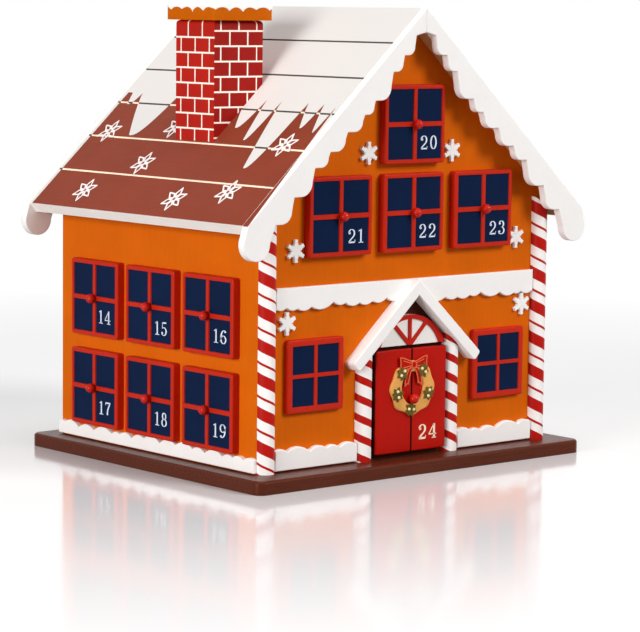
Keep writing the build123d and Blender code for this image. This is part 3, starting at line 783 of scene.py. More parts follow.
figures = {
    "0": (0.72, [pen(arc(0.36, 0.5, 0.25, 0.46, 90, 450, 44))]),
    "1": (0.56, [pen(line((0.30, 0.03), (0.30, 0.97))), even(line((0.08, 0.03), (0.52, 0.03)), 0.07),
                 even(line((0.09, 0.83), (0.30, 0.95)), 0.08)]),
    "2": (0.72, [pen(np.concatenate([arc(0.35, 0.71, 0.25, 0.26, 175, -5), curve(
                     (0.60, 0.66), (0.57, 0.42), (0.25, 0.32), (0.10, 0.08))[1:]])), dot(0.16, 0.72, 0.10),
                 even(line((0.07, 0.07), (0.64, 0.07)), 0.13), even(line((0.63, 0.05), (0.67, 0.24)), 0.05)]),
    "3": (0.70, [pen(arc(0.32, 0.74, 0.22, 0.23, 155, -90)), pen(arc(0.31, 0.27, 0.28, 0.25, 90, -155)),
                 dot(0.16, 0.78, 0.09), dot(0.12, 0.20, 0.10)]),
    "4": (0.74, [pen(line((0.50, 0.03), (0.50, 0.97))), even(line((0.49, 0.95), (0.05, 0.30)), 0.07),
                 even(line((0.03, 0.28), (0.70, 0.28)), 0.075),
                 even(line((0.32, 0.03), (0.68, 0.03)), 0.065)]),
    "5": (0.70, [even(line((0.15, 0.91), (0.60, 0.93)), 0.12), even(line((0.16, 0.95), (0.14, 0.52)), 0.06),
                 pen(arc(0.31, 0.30, 0.28, 0.28, 128, -150)), dot(0.13, 0.18, 0.10)]),
    "6": (0.72, [pen(curve((0.56, 0.93), (0.25, 0.97), (0.08, 0.72), (0.10, 0.30))),
                 pen(arc(0.36, 0.29, 0.26, 0.27, 0, 360, 40)), dot(0.56, 0.85, 0.09)]),
    "7": (0.70, [even(line((0.08, 0.91), (0.65, 0.91)), 0.13), even(line((0.09, 0.95), (0.06, 0.74)), 0.05),
                 pen(curve((0.62, 0.90), (0.46, 0.62), (0.28, 0.42), (0.29, 0.03)))]),
    "8": (0.72, [pen(arc(0.36, 0.74, 0.19, 0.23, 0, 360, 36)), pen(arc(0.36, 0.27, 0.25, 0.26, 0, 360, 40))]),
    "9": (0.72, [pen(curve((0.16, 0.07), (0.47, 0.03), (0.64, 0.28), (0.62, 0.70))),
                 pen(arc(0.36, 0.71, 0.26, 0.27, 0, 360, 40)), dot(0.16, 0.15, 0.09)]),
}


def stroke(path, width, level, lift, finish=0):
    """A raised ribbon: at each point of the path the four corners of a flat bar, half the width to each
    side across the direction of travel, closed at both ends."""
    ahead = travel(path)
    side = np.stack([-ahead[:, 1], ahead[:, 0]], 1)
    half = side * (np.broadcast_to(width, len(path)) / 2)[:, None]
    flat = [path + half, path + half, path - half, path - half]
    heights = [level, level + lift, level + lift, level]
    corners = [np.column_stack([xy, np.full(len(path), z)]) for xy, z in zip(flat, heights)]
    return tube(np.stack(corners, 1), finish)


def numeral(text, height, across, upward, level, finish=NUMBER, weight=1.0):
    """A number centred on a point: each figure's strokes scaled to the height and set side by side, and
    made thinner or bolder by the weight."""
    total = sum(figures[letter][0] for letter in text) + figure_gap * (len(text) - 1)
    start = -total / 2
    strokes = []
    for letter in text:
        advance, paths = figures[letter]
        for path, width in paths:
            spot = (path + [start, -0.5]) * height + [across, upward]
            strokes.append(stroke(spot, width * height * weight, level, figure_lift, finish))
        start += advance + figure_gap
    return strokes


print(len(figures), "figures")

# %% [markdown]
# ## Twenty-three window drawers
# Every window drawer is the same, apart from its place and its number. The joint of each drawer says which
# wall it slides out of, and its CAD box says where its middle is, so one loop makes them all, each riding
# on its own body. Linked copies would share one mesh, and with it one number, so each drawer has its own.

# %% Window drawers
number_height = 9.6
number_weight = 0.8
# The numbers were stamped by hand: how far some lie to the right of and above the others' place
stamped_off = {
    14: (-1.4, 0.4), 15: (-0.5, -1.0), 17: (-0.8, -0.3), 21: (0.4, -1.0), 22: (0.0, -0.4), 23: (1.0, -1.2),
}
tray_inset = 4.5
tray_depth = 68.0
pane_width = (window_width - 3 * bar) / 2
pane_height = (window_height - 3 * bar) / 2
pane_x = (pane_width + bar) / 2
pane_z = -(pane_height + bar) / 2
joint_axes = {joint["child"]: joint["axis"] for joint in frame["record"]["behaviour"]["joints"]}
wall_of_axis = {(1, 0): "right", (-1, 0): "left", (0, 1): "back", (0, -1): "front"}
drawer_finishes = [red_paint, navy_paint, knob_paint, bare_ply, number_paint]


def drawer_place(node):
    """The wall that a drawer slides out of, and its middle across that wall and in height."""
    axis = joint_axes[node]
    side = wall_of_axis[(round(axis[0]), round(axis[1]))]
    low, high = box_mm(node)
    middle = (low + high) / 2
    return side, float(middle @ np.array(wall_axes[side][0])), middle[2]


window_front = front_board(window_width, window_height, front_thickness)
window_tray = tray(window_width - 2 * tray_inset, window_height - 2 * tray_inset, tray_depth)
for count in range(1, 24):
    node = f"drawer_{count:02d}"
    side, across, height = drawer_place(node)
    right_by, up_by = stamped_off.get(count, (0.0, 0.0))
    figure = numeral(str(count), number_height, pane_x + right_by, pane_z + up_by,
                     front_thickness - recess, weight=number_weight)
    parts = [window_front, ball_knob(front_thickness), *window_tray, *figure]
    placed = [on_wall(side, part, across, height) for part in parts]
    make(f"{node}_look", placed, node, drawer_finishes, [node])
print("23 window drawers,", len(window_front[1]), "faces in each front")

# %% [markdown]
# ## False windows
# Beside the door are two smaller windows without knob or number, glued to the wall. Their outer frame is
# broader and their cross is finer than on the drawers. Scaled drawer fronts would have thinner frames, so
# the same function makes them anew with widths of their own.

# %% False windows
false_cross, false_edge = 2.3, 4.2
for node in ("false_window_left", "false_window_right"):
    low, high = box_mm(node)
    width, thickness, height = high - low
    board = front_board(width, height, thickness, cross=false_cross, edge=false_edge)
    placed = on_wall("front", board, (low[0] + high[0]) / 2, (low[2] + high[2]) / 2)
    make(f"{node}_look", [placed], "house", [red_paint, navy_paint], [node])
print("two false windows")

# %% [markdown]
# ## The wreath on the door
# A flat wreath hangs on the door: a scalloped ring of biscuit gold, with clusters of olive leaves and small
# cream lights. A picture on a disc would look flat from the side, so every part has its own thickness: the
# ring is a grid round the hole, each leaf is a slab with a pointed outline, and each light is half a ball.

# %% Wreath finishes
wreath_finishes = [
    painted("biscuit_gold_paint", linear(222, 160, 84), 0.5, 0.14, (250, 250, 250), 0.08),
    painted("olive_leaf_paint", linear(98, 82, 28), 0.5, 0.2, (400, 400, 400), 0.08),
    painted("cream_light_paint", linear(236, 222, 170), 0.3, 0.04, (300, 300, 300), 0.02),
    painted("coral_line_paint", linear(226, 104, 66), 0.45, 0.06, (400, 400, 400), 0.03),
    painted("cream_number_paint", linear(250, 232, 206), 0.5, 0.03, (900, 900, 900), 0.02),
]
GOLD, LEAF, LIGHT, CORAL, CREAM = range(5, 10)
print(len(wreath_finishes), "finishes for the wreath, the bow and the number")

# %% Wreath
wreath_hole = (9.8, 11.3)
wreath_outer = (19.9, 18.3)
wreath_scallop = 0.7
wreath_lobes = 8
wreath_lift = 7.4
wreath_thickness = 1.5
cluster_reach = 14.8
cluster_angles = [52, 133, 194, 262, 342]
leaf_leans = [-120, -65, -20, 25, 75, 130, 180]
leaf_length, leaf_width, leaf_thickness, leaf_ease = 5.6, 2.9, 0.5, 0.2
leaf_sink, leaf_step, leaf_shrink = 0.1, 0.12, 0.3
light_radius, light_apart, light_rise = 1.15, 2.1, 0.9


def scalloped_ring(level, thickness):
    """A flat ring: from the elliptic hole to a wider ellipse plus a cosine of the lobes times the angle, with
    both edges rolled over."""
    turn = np.linspace(0, 2 * np.pi, 160, endpoint=False)
    wave = wreath_scallop * np.cos(wreath_lobes * turn)
    inner = np.stack([wreath_hole[0] * np.cos(turn), wreath_hole[1] * np.sin(turn)], 1)
    outer = np.stack([(wreath_outer[0] + wave) * np.cos(turn), (wreath_outer[1] + wave) * np.sin(turn)], 1)
    share = np.array([0, 0, 0.06, 0.16, 0.5, 0.84, 0.94, 1, 1])
    rise = np.array([0, 0.55, 0.9, 1, 1, 1, 0.9, 0.55, 0]) * thickness
    flat = inner[None] * (1 - share[:, None, None]) + outer[None] * share[:, None, None]
    points = at_levels(flat, level + rise)
    closed = np.concatenate([points, points[:1]], 0).reshape(-1, 3)
    return shape(closed, quads(len(share) + 1, len(turn), True), finish=GOLD)


def leaf(length, x, y, angle, level):
    """A pointed leaf: half width times the sine of the way along it, turned and moved."""
    t = np.linspace(0, 1, 9)
    half = leaf_width / 2 * np.sin(np.pi * t) ** 0.8
    outline = np.concatenate([np.stack([t * length, -half], 1), np.stack([t * length, half], 1)[-2:0:-1]])
    return slab(spun(outline, angle) + [x, y], level, level + leaf_thickness, leaf_ease, LEAF)


def half_ball(x, y, level):
    """A small round light: a quarter circle turned about its axis."""
    turn = np.radians(np.linspace(0, 85, 6))
    dome = turned(light_radius * np.cos(turn), level + light_radius * np.sin(turn), 14, LIGHT)
    return shifted(dome, [x, y, 0])


def wreath_parts():
    """The ring, five clusters of leaves fanned about a point on it, and two lights in each."""
    parts = [scalloped_ring(front_thickness, wreath_thickness)]
    top = front_thickness + wreath_thickness - leaf_sink
    for angle in np.radians(cluster_angles):
        x, y = cluster_reach * np.cos(angle), cluster_reach * np.sin(angle)
        for step, lean in enumerate(leaf_leans):
            length = leaf_length - leaf_shrink * (step % 3)
            parts.append(leaf(length, x, y, angle + np.radians(lean), top + leaf_step * step))
        for side in (-1, 1):
            apart = light_apart * side
            light = x + apart * np.sin(angle), y - apart * np.cos(angle)
            parts.append(half_ball(*light, top + light_rise))
    return [shifted(part, [0, wreath_lift, 0]) for part in parts]


wreath = wreath_parts()
print("wreath with", len(wreath), "shapes")

# %% [markdown]
# ## The bow
# At the top of the wreath is a painted red bow whose folds are drawn with coral lines. Cloth could be tied
# into one, but this bow is flat wood. Its outlines are cubic curves drawn once for the right half and
# mirrored, and the lines are raised ribbons along them.

# %% Bow
bow_rise = 16.2
bow_layer, bow_depth, bow_face, bow_ease = 0.15, 1.2, 0.25, 0.15
outline_width, outline_level = 0.75, 0.2
fold_width, fold_level = 0.6, 0.35
line_lift = 0.25
knot_half, knot_face, knot_ease = (2.1, 2.3), 0.9, 0.4
knot_line_level, knot_line_lift = 0.65, 0.3


def chained(start, *bends):
    """Cubic curves one after another: each bend gives two handles and the end, where the next starts."""
    pieces = [np.array([start], float)]
    for bend in bends:
        pieces.append(curve(pieces[-1][-1], *bend)[1:])
    return np.concatenate(pieces)


bow_loop = chained((0, 1.6), [(3, 2.2), (9, 5.6), (12.4, 5.4)], [(11.6, 2.0), (11.8, -1.4), (12.8, -4.6)],
                   [(9, -3.6), (4, -2.4), (0, -1.6)])
bow_tail = chained((0, -1), [(2.4, -4), (4.2, -8), (4.6, -13.4)], [(5.6, -12.0), (6.4, -13.2), (7.8, -14.6)],
                   [(8.0, -8.0), (5.0, -3.4), (1.6, -0.4)])
bow_folds = [curve((1, 0.6), (4, 1.4), (7, 2.6), (9.6, 3.2)),
             curve((1, -0.4), (4, -0.8), (7, -1.4), (9.8, -1.8))]


def bow_parts():
    """Two loops, two tails and a knot as red slabs, with coral lines along their outlines and folds."""
    base = front_thickness + wreath_thickness
    lift = wreath_lift + bow_rise
    parts = []
    for side in (-1, 1):
        for number, outline in enumerate((bow_tail, bow_loop)):
            mirrored = outline * [side, 1] + [0, lift]
            level = base + bow_layer * number
            parts.append(slab(mirrored[::-side], level - bow_depth, level + bow_face, bow_ease, RED))
            ring = np.concatenate([mirrored, mirrored[:1]])
            parts.append(stroke(ring, outline_width, level + outline_level, line_lift, CORAL))
        for fold in bow_folds:
            mirrored = fold * [side, 1] + [0, lift]
            parts.append(stroke(mirrored, fold_width, base + fold_level, line_lift, CORAL))
    knot = arc(0, lift, *knot_half, 0, 360, 24)
    parts.append(slab(knot[:-1], base, base + knot_face, knot_ease, RED))
    parts.append(stroke(knot, fold_width, base + knot_line_level, knot_line_lift, CORAL))
    return parts


bow = bow_parts()
print("bow with", len(bow), "shapes")

# %% [markdown]
# ## The door drawer
# The twenty-fourth drawer is a red double door: one board with a groove down its middle, whose edges and
# groove are painted dark brown as painted shade.
# Two boards with a gap would show the tray between them, so the height field of the windows is used again,
# with a groove in place of the panes.

# %% Door drawer
door_low, door_high = box_mm("drawer_24")
door_width = door_high[0] - door_low[0]
door_height = door_high[2] - door_low[2]
door_groove = 1.6
door_skirt = 2.2
door_tray_inset = 3.0
door_number_height = number_height + 0.8
number_across, number_drop = 15.5, 24.2
_, door_across, door_middle = drawer_place("drawer_24")
door_face = front_board(door_width, door_height + door_skirt, front_thickness, groove=door_groove)
door_board = shifted(door_face, [0, -door_skirt / 2, 0])
door_tray = tray(door_width - 2 * door_tray_inset, door_height - 2 * door_tray_inset, tray_depth)
door_number = numeral("24", door_number_height, number_across, -number_drop, front_thickness, CREAM)
door_parts = [door_board, ball_knob(front_thickness), *door_tray, *wreath, *bow, *door_number]
placed = [on_wall("front", part, door_across, door_middle) for part in door_parts]
door_finishes = [door_paint, edge_painted_shade, *drawer_finishes[2:], *wreath_finishes]
make("drawer_24_look", placed, "drawer_24", door_finishes, ["drawer_24"])
print("door drawer with", len(door_parts), "shapes")

# %% [markdown]
# ## Candy-cane posts
# The posts are half-round sticks with stripes that wind round them. Twisted bands could be laid on them,
# but painted stripes have no thickness, so they are part of the finish. The surface is an arc carried up
# the post, and its own map holds a count of stripes: the height plus a share of the arc's length, divided
# by the stripes' pitch. The paint is red where the count has just passed a whole number.


# %% Striped finish
def stripes(broad, thin_place, thin):
    """A test for `two_tone`: 1 where the count of stripes has a remainder below the broad share, or within
    half the thin share of the thin place."""
    def where(tree, _):
        """The count comes from the piece's own map, so the coordinates aren't needed."""
        rest = sums(tree, "FRACT", parted(tree, add(tree, "ShaderNodeUVMap", uv_map="wrap"))[0])
        is_broad = sums(tree, "LESS_THAN", rest, broad)
        is_thin = sums(tree, "COMPARE", rest, thin_place, thin / 2)
        return sums(tree, "MAXIMUM", is_broad, is_thin)
    return where


def candy(name, *shares):
    """White paint with red stripes."""
    return two_tone(name, icing_colour, linear(178, 20, 10), stripes(*shares),
                    0.45, 0.02, (300, 300, 300), 0.05)


corner_stripes = candy("candy_corner_stripes", 0.36, 0.655, 0.08)
door_stripes = candy("candy_door_stripes", 0.4, 0.5, 0.0)
print("stripes for the corners and for the door")

# %% Posts
corner_low, corner_high = box_mm("corner_posts")
jamb_high = box_mm("door_posts")[1]
post_radius = corner_high[1] - corner_low[1]
right_corner_rise = -11.0


def half_post(x, top_left, top_right, pitch, slant, start):
    """A half-round post: an arc from left to right at each height, the top following a slope. Its map
    counts the stripes: (height + slant * arc - start) / pitch."""
    turn = np.linspace(-np.pi / 2, np.pi / 2, 25)
    across = post_radius * np.sin(turn)
    top = np.interp(across, [-post_radius, post_radius], [top_left, top_right])
    height = base_top + np.linspace(0, 1, 40)[:, None] * (top - base_top)[None]
    rows = (x + across, post_radius * np.cos(turn), post_radius * turn)
    spread, out, arc_length = (np.broadcast_to(row, height.shape) for row in rows)
    points = np.stack([spread, height, out], -1).reshape(-1, 3)
    wrap = np.stack([(height + slant * arc_length - start) / pitch, arc_length], -1)
    number = numbered(*height.shape)
    caps = [number[0], number[-1][::-1], np.concatenate([number[:, 0], number[::-1, -1]])]
    return shape(points, quads(*height.shape), caps), wrap.reshape(-1, 2)


def post_pair(node, high, finish, left_stripes, right_stripes, left_rise, right_rise):
    """The left and right post of a node as one piece with its stripe map; stripes are (pitch, slant, start),
    and each rise lifts a post's top above the CAD's height."""
    x = high[0] - post_radius
    fall = 2 * post_radius * slope
    left_top = high[2] + left_rise
    right_top = high[2] + right_rise
    left_post, left_map = half_post(-x, left_top - fall, left_top, *left_stripes)
    right_post, right_map = half_post(x, right_top, right_top - fall, *right_stripes)
    placed = [on_wall("front", left_post), on_wall("front", right_post)]
    piece = make(f"{node}_look", placed, "house", [finish], [node])
    corners = np.empty(len(piece.data.loops), np.int32)
    piece.data.loops.foreach_get("vertex_index", corners)
    wrap = np.concatenate([left_map, right_map])[corners]
    piece.data.uv_layers.new(name="wrap").data.foreach_set("uv", wrap.ravel())


post_pair("corner_posts", corner_high, corner_stripes, (22.5, 0.46, -2.3), (23.4, 0.48, 4.9),
          0.0, right_corner_rise)
post_pair("door_posts", jamb_high, door_stripes, (13.4, 0.42, -6.1), (13.7, 0.5, 2.4),
          -porch_shift * slope, porch_shift * slope)
print("four striped posts")

# %% [markdown]
# ## The snowy roof
# Each slope is one board, grooved into planks, with brown paint below and painted snow above that ends in
# long icicles. The snow could be a second sheet on the board, but on the real roof it is only paint. So the
# face is a grid over the ridge direction and the way down the slope. Every point keeps how far it lies
# inside the snow, and the paint switches from snow to brown where that distance is zero.

# %% Roof finishes
# The snow is a greyer white than the icing: painted shade that offsets the stronger light falling on the
# roof.
shaded_snow_white = linear(224, 219, 215)
snow_blur = 0.12
shade_reach, shade_share = 1.6, 0.45
snow_relief = 0.25


def roof_paint(name, above, below):
    """One colour on the snow side of the edge and another on the planks, split where the snow margin is 0.
    The planks are shaded towards the edge, and a raised edge comes from the same split."""
    material, tree, shader, coords = new_finish(name)
    margin = add(tree, "ShaderNodeAttribute", output=2, attribute_name="snow_margin")
    inside = ranged(tree, margin, -snow_blur, snow_blur, 0.0, 1.0)
    near = ranged(tree, margin, -shade_reach, 0.0, 0.0, shade_share)
    toned = brushed(tree, shader, coords, below, 0.5, 0.07, (700, 50, 700), 0.06)
    edged = mixed(tree, near, toned, linear(78, 26, 18))
    tree.links.new(mixed(tree, inside, edged, above), shader.inputs["Base Color"])
    bump = add(tree, "ShaderNodeBump", {"Strength": 0.6, "Distance": snow_relief * MM, "Height": inside})
    tree.links.new(bump, shader.inputs["Normal"])
    return material


plank_brown = linear(132, 56, 36)
plank_paint = roof_paint("roof_snow_and_brown", shaded_snow_white, plank_brown)
groove_paint = roof_paint("roof_groove_lines", linear(84, 74, 68), linear(246, 226, 204))
eave_paint = painted("eave_cream_paint", linear(250, 244, 238), 0.5, 0.03, (300, 60, 300), 0.05)
soffit_ply = plywood("soffit_ply", linear(206, 164, 112))
roof_finishes = [plank_paint, groove_paint, eave_paint, soffit_ply, white_paint]
PLANK, GROOVE, EAVE, SOFFIT, STAR = range(5)
print(len(roof_finishes), "finishes on the roof")

# %% Roof boards
roof_low, roof_high = box_mm("roof_left")
ridge_height = roof_high[2]
eave_reach = -roof_low[0]
roof_front, roof_back = roof_low[1], roof_high[1]
pitch = np.arctan(slope)
slope_length = eave_reach / np.cos(pitch)
roof_thickness = 9.0
plank_count = 6
groove_half, groove_depth = 0.8, 0.8
# Icicles from back to front: the places of the back root, the front root and the tip along the ridge, and
# how far down the slope the tip comes
icicles = [
    (115.8, 104.1, 111.0, 106.0),
    (104.1, 61.0, 78.7, 136.3),
    (44.0, 3.0, 22.0, 116.0),
    (-15.0, -37.3, -28.3, 122.5),
    (-37.3, -53.6, -47.1, 133.5),
    (-53.6, -81.9, -70.5, 158.8),
    (-81.9, -98.3, -93.4, 119.0),
    (-98.3, -112.1, -109.2, 122.5),
]
snow_edge = 94.0
snowy_verge = 121.5
verge_start = -112.1
verge_lean = (slope_length - snow_edge) / (verge_start - box_mm("barge_front_left")[0][1])
star_places = [
    (104.0, 133.7), (36.9, 161.7), (74.9, 191.7), (-27.4, 191.7), (-75.4, 180.9), (-93.0, 135.0),
    (34.5, 125.4),
]
star_reach = 10.6
star_line, star_lift, star_sink = 1.15, 0.3, 0.05
deep_in_snow = 5.0


def snow_reach(along):
    """How far down the slope the snow comes: the edge, and in each icicle a rise towards the tip from its
    back root by the 0.85 power of the way, then a fall to its front root by one minus the cube of the way.
    Along both verges the snow comes down to the eave, leaning at the front."""
    reach = np.full(along.shape, snow_edge)
    for start, end, tip, length in icicles:
        rising = np.clip((start - along) / (start - tip), 0, 1) ** 0.85
        falling = 1 - np.clip((tip - along) / (tip - end), 0, 1) ** 3
        share = np.where(along >= tip, rising, falling)
        inside = (along <= start) & (along >= end)
        reach = np.where(inside, snow_edge + (length - snow_edge) * share, reach)
    reach = np.maximum(reach, snow_edge + (verge_start - along) * verge_lean)
    return np.where(along > snowy_verge, 2 * slope_length, reach)


def on_slope(side, points):
    """(along y, down from the ridge, above the face) carried to the left (-1) or the right (1) slope."""
    x = side * (points[:, 1] * np.cos(pitch) + points[:, 2] * np.sin(pitch))
    z = ridge_height - points[:, 1] * np.sin(pitch) + points[:, 2] * np.cos(pitch)
    return np.stack([x, points[:, 0], z], 1)


def star_outlines(along, down):
    """Six outlined petals: a diamond from near the middle to the tip, as one closed path each."""
    petal = np.array([(1.4, 0), (5.2, 2.3), (star_reach, 0), (5.2, -2.3), (1.4, 0)])
    steps = np.linspace(0, 4, 33)
    paths = []
    for turn in np.radians(60 * np.arange(6)):
        corners = spun(petal, turn)[:, ::-1]
        path = np.stack([np.interp(steps, np.arange(5), corners[:, k]) for k in range(2)], 1)
        paths.append(path + [along, down])
    return paths


def star_ribbons(side):
    """The stars of a slope as ribbons, faced outwards again after they were carried to their side."""
    ribbons = []
    for spot in star_places:
        for path in star_outlines(*spot):
            points, faces, _ = stroke(path, star_line, -star_sink, star_lift)
            ribbons.append(shape(on_slope(side, points), np.array(faces), finish=STAR))
    return ribbons


def roof_board(node, side):
    """The grooved face as a grid, its sides and its under face, with the snow margin kept for the paint."""
    grooves = slope_length * np.arange(1, plank_count) / plank_count
    lines = np.sort(np.concatenate([
        np.linspace(0, slope_length, 25), grooves - groove_half, grooves, grooves + groove_half]))
    lines = lines[np.concatenate([[True], np.diff(lines) > 1e-6])]
    from_groove = np.min(np.abs(lines[:, None] - grooves[None]), 1)
    sunk = groove_depth * np.clip(1 - from_groove / groove_half, 0, 1)
    along = np.linspace(roof_front, roof_back, 280)
    down, length = np.meshgrid(lines, along, indexing="ij")
    level = np.broadcast_to(-sunk[:, None], down.shape)
    face = np.stack([length, down, level], -1).reshape(-1, 3)
    rim = rim_of(*down.shape)
    under = face[rim]
    under[:, 1] = np.maximum(under[:, 1], roof_thickness * np.tan(pitch))
    under[:, 2] = -roof_thickness
    wall = down.size + np.arange(len(rim))
    skirt = np.stack([rim, np.roll(rim, -1), np.roll(wall, -1), wall], 1)
    in_groove = (sunk[:-1] + sunk[1:]) > 1e-6
    planks = np.repeat(np.where(in_groove, GROOVE, PLANK), len(along) - 1)
    finish = np.concatenate([planks, np.full(len(rim), EAVE)])
    points = on_slope(side, np.concatenate([face, under]))
    board = shape(points, np.concatenate([quads(*down.shape), skirt]), [wall], finish)
    board[2][-1] = SOFFIT
    parts = [board, *star_ribbons(side)]
    piece = make(f"{node}_look", parts, "house", roof_finishes, [node])
    margin = np.full(len(piece.data.vertices), deep_in_snow)
    margin[:down.size] = (snow_reach(length) - down).ravel()
    layer = piece.data.attributes.new("snow_margin", "FLOAT", "POINT")
    layer.data.foreach_set("value", margin.astype(np.float32))
    return piece


for node, side in (("roof_left", -1), ("roof_right", 1)):
    piece = roof_board(node, side)
    print(piece.name, len(piece.data.polygons), "faces")


# %% [markdown]
# ## Top edges of the front barge boards
# The brown of the planks runs on over the top edges of the two front barge boards, up to the snow's leaning
# edge. A strip of brown could be laid there, but the boards keep their CAD shape, so their paint finds the
# top edge by its height and the slope, as the painted shade under the porch does.

# %% Top edges of the front barge boards
top_tolerance = 0.2


def beyond_snow(tree, coords):
    """1 on a barge board's top edge beyond the leaning edge of the snow. On a top edge the height plus the
    slope times the distance from the middle comes to the ridge's height."""
    spot = parted(tree, coords)
    from_middle, level = up_the_slope(tree, spot)
    on_top = sums(tree, "GREATER_THAN", level, float(ridge_height - top_tolerance) * MM)
    edge_start = float(snow_edge + verge_start * verge_lean) * MM
    snow_end = sums(tree, "MULTIPLY_ADD", spot[1], float(-verge_lean), edge_start)
    snow_across = sums(tree, "MULTIPLY", snow_end, float(np.cos(pitch)))
    below_snow = sums(tree, "GREATER_THAN", from_middle, snow_across)
    return sums(tree, "MULTIPLY", on_top, below_snow)


barge_paint = two_tone("barge_white_and_brown", icing_colour, plank_brown, beyond_snow,
                       0.55, 0.015, (300, 300, 300), 0.05)
for node in ("barge_front_left", "barge_front_right"):
    repaint(node, barge_paint)
print("the snow leans", verge_lean.round(1), "mm down the slope for each millimetre along the verge")

# %% [markdown]
# ## Chimney
# The stack is painted as red bricks with cream joints. The front and back are a deeper red than the sides, as
# painted shade. The Brick Texture node could paint them, but each pair of sides starts its courses at its own
# height. So each side is a grid of its own whose lines run along the joints, and a face of the grid is either
# brick or joint. Points below the slope are lifted on to it, which cuts the foot to the roof.

# %% Chimney stack
brick_finishes = [
    painted("brick_red_paint", linear(176, 26, 12), 0.45, 0.10, (700, 700, 90), 0.08),
    painted("mortar_cream_paint", linear(250, 240, 226), 0.6, 0.03, (400, 400, 400), 0.05),
    # The deeper red for the front and back faces is painted shade: the same bricks, darker where less light
    # falls.
    painted("shaded_brick_red_paint", linear(150, 18, 10), 0.45, 0.10, (700, 700, 90), 0.08),
]
BRICK, MORTAR, SHADED_BRICK = range(3)
stack_low, stack_high = box_mm("chimney_stack")
stack_top = stack_high[2]
stack_half = (stack_high[1] - stack_low[1]) / 2
stack_middle = (stack_low + stack_high) / 2
stack_depth = 84.0
stack_sink = 0.3
stack_round = 2.5
course = 10.4
brick_length = 15.7
joint = 1.2
# How far each face's first course lies below the top, and where its first upright joint is
brick_starts = {"front": (7.2, 5.6), "left": (11.8, 13.4), "back": (7.2, 5.6), "right": (11.8, 13.4)}


def from_nearest(distance, spacing):
    """How far a distance is from the nearest whole number of spacings."""
    return np.abs((distance + spacing / 2) % spacing - spacing / 2)


def brick_face(side):
    """One face of the stack as (points, faces, finish): grid lines follow both sets of upright joints and
    every course. A face is joint if its middle lies within half a joint of a course line or of its own
    course's upright joints."""
    start, first = brick_starts[side]
    width = 2 * stack_half
    uprights = first + np.arange(-3, 4) * brick_length / 2
    uprights = uprights[(uprights > joint) & (uprights < width - joint)]
    across = np.concatenate([np.linspace(0, width, 44), uprights - joint / 2, uprights + joint / 2])
    across = np.unique(across.round(4))
    courses = start + np.arange(9) * course
    top_round = stack_round * (1 - np.sin(np.radians([90, 60, 30, 0])))
    down = np.concatenate([top_round, courses - joint / 2, courses + joint / 2, [stack_depth]])
    down = np.unique(down[down <= stack_depth].round(4))
    round_out = np.sqrt(np.maximum(stack_round**2 - (stack_round - down) ** 2, 0))
    inset = np.where(down < stack_round, stack_round - round_out, 0)
    u, d = np.meshgrid(across, down)
    cell_u, cell_d = np.meshgrid((across[:-1] + across[1:]) / 2, (down[:-1] + down[1:]) / 2)
    row = np.maximum(np.floor((cell_d - start) / course), -1)
    offset = np.where(row % 2 == 0, first + brick_length / 2, first)
    at_upright = from_nearest(cell_u - offset, brick_length) < joint / 2
    at_course = (from_nearest(cell_d - start, course) < joint / 2) & (cell_d > start - joint)
    half = np.broadcast_to(stack_half - inset[:, None], u.shape)
    points = np.stack([(u - stack_half) * (half / stack_half), stack_top - d, half], -1).reshape(-1, 3)
    # Front and back take the deeper red, which is painted shade.
    brick = SHADED_BRICK if side in ("front", "back") else BRICK
    return points, quads(*u.shape), np.where(at_upright | at_course, MORTAR, brick).ravel()


def chimney():
    """Four brick faces round the stack and its top, with the foot cut to the slope, as one mesh."""
    parts = []
    for side, (along, out, _) in wall_axes.items():
        flat, grid, finish = brick_face(side)
        points = flat[:, :1] * np.array(along) + flat[:, 2:] * np.array(out)
        points = points + flat[:, 1:2] * np.array([0, 0, 1]) + [stack_middle[0], stack_middle[1], 0]
        foot = ridge_height - np.abs(points[:, 0]) * slope - stack_sink
        points[:, 2] = np.maximum(points[:, 2], foot)
        parts.append((points, grid[:, ::-1].tolist(), finish))
    reach = stack_half - stack_round
    lid = rectangle(-reach, reach, -reach, reach) + stack_middle[:2]
    top = np.column_stack([lid, np.full(4, stack_top)])
    parts.append((top, [[0, 1, 2, 3]], np.array([BRICK])))
    return make("chimney_stack_look", parts, "house", brick_finishes, ["chimney_stack"])


piece = chimney()
print(piece.name, len(piece.data.polygons), "faces")

# %% [markdown]
# ## Chimney cap
# The cap is an orange board with icing on top that runs over its edges in rounded drips. Metaballs melt into
# such drips, but are hard to keep at one thickness. Here the drips are a wave round the rim: the icing's
# edge hangs lower where a power of a sine of the way round falls to zero, so the board shows in round
# arches between the drips.

# %% Chimney cap
icing_edge = painted("cap_icing_paint", linear(243, 238, 230), 0.4, 0.02, (300, 300, 300), 0.05)
cap_low, cap_high = box_mm("chimney_cap")
cap_half = (cap_high[0] - cap_low[0]) / 2
cap_middle = (cap_low + cap_high) / 2
cap_thickness = cap_high[2] - cap_low[2]
cap_round = 2.5
drip_length = 11.8
drip_base, drip_reach = 1.2, 2.8
longer_share, longer_every = 0.35, 3.3 * drip_length
board_drop, board_ease = 0.6, 0.5
icing_root = 1.5


def cap_outline():
    """A square with rounded corners, counter-clockwise, with points about every millimetre on its sides."""
    corner = np.radians(np.linspace(0, 90, 9))
    reach = cap_half - cap_round
    bend = np.stack([reach + cap_round * np.cos(corner), reach + cap_round * np.sin(corner)], 1)
    straight = np.stack([np.linspace(reach, -reach, 48)[1:-1], np.full(46, cap_half)], 1)
    side = np.concatenate([bend, straight])
    return np.concatenate([spun(side, np.radians(90 * turn)) for turn in range(4)])


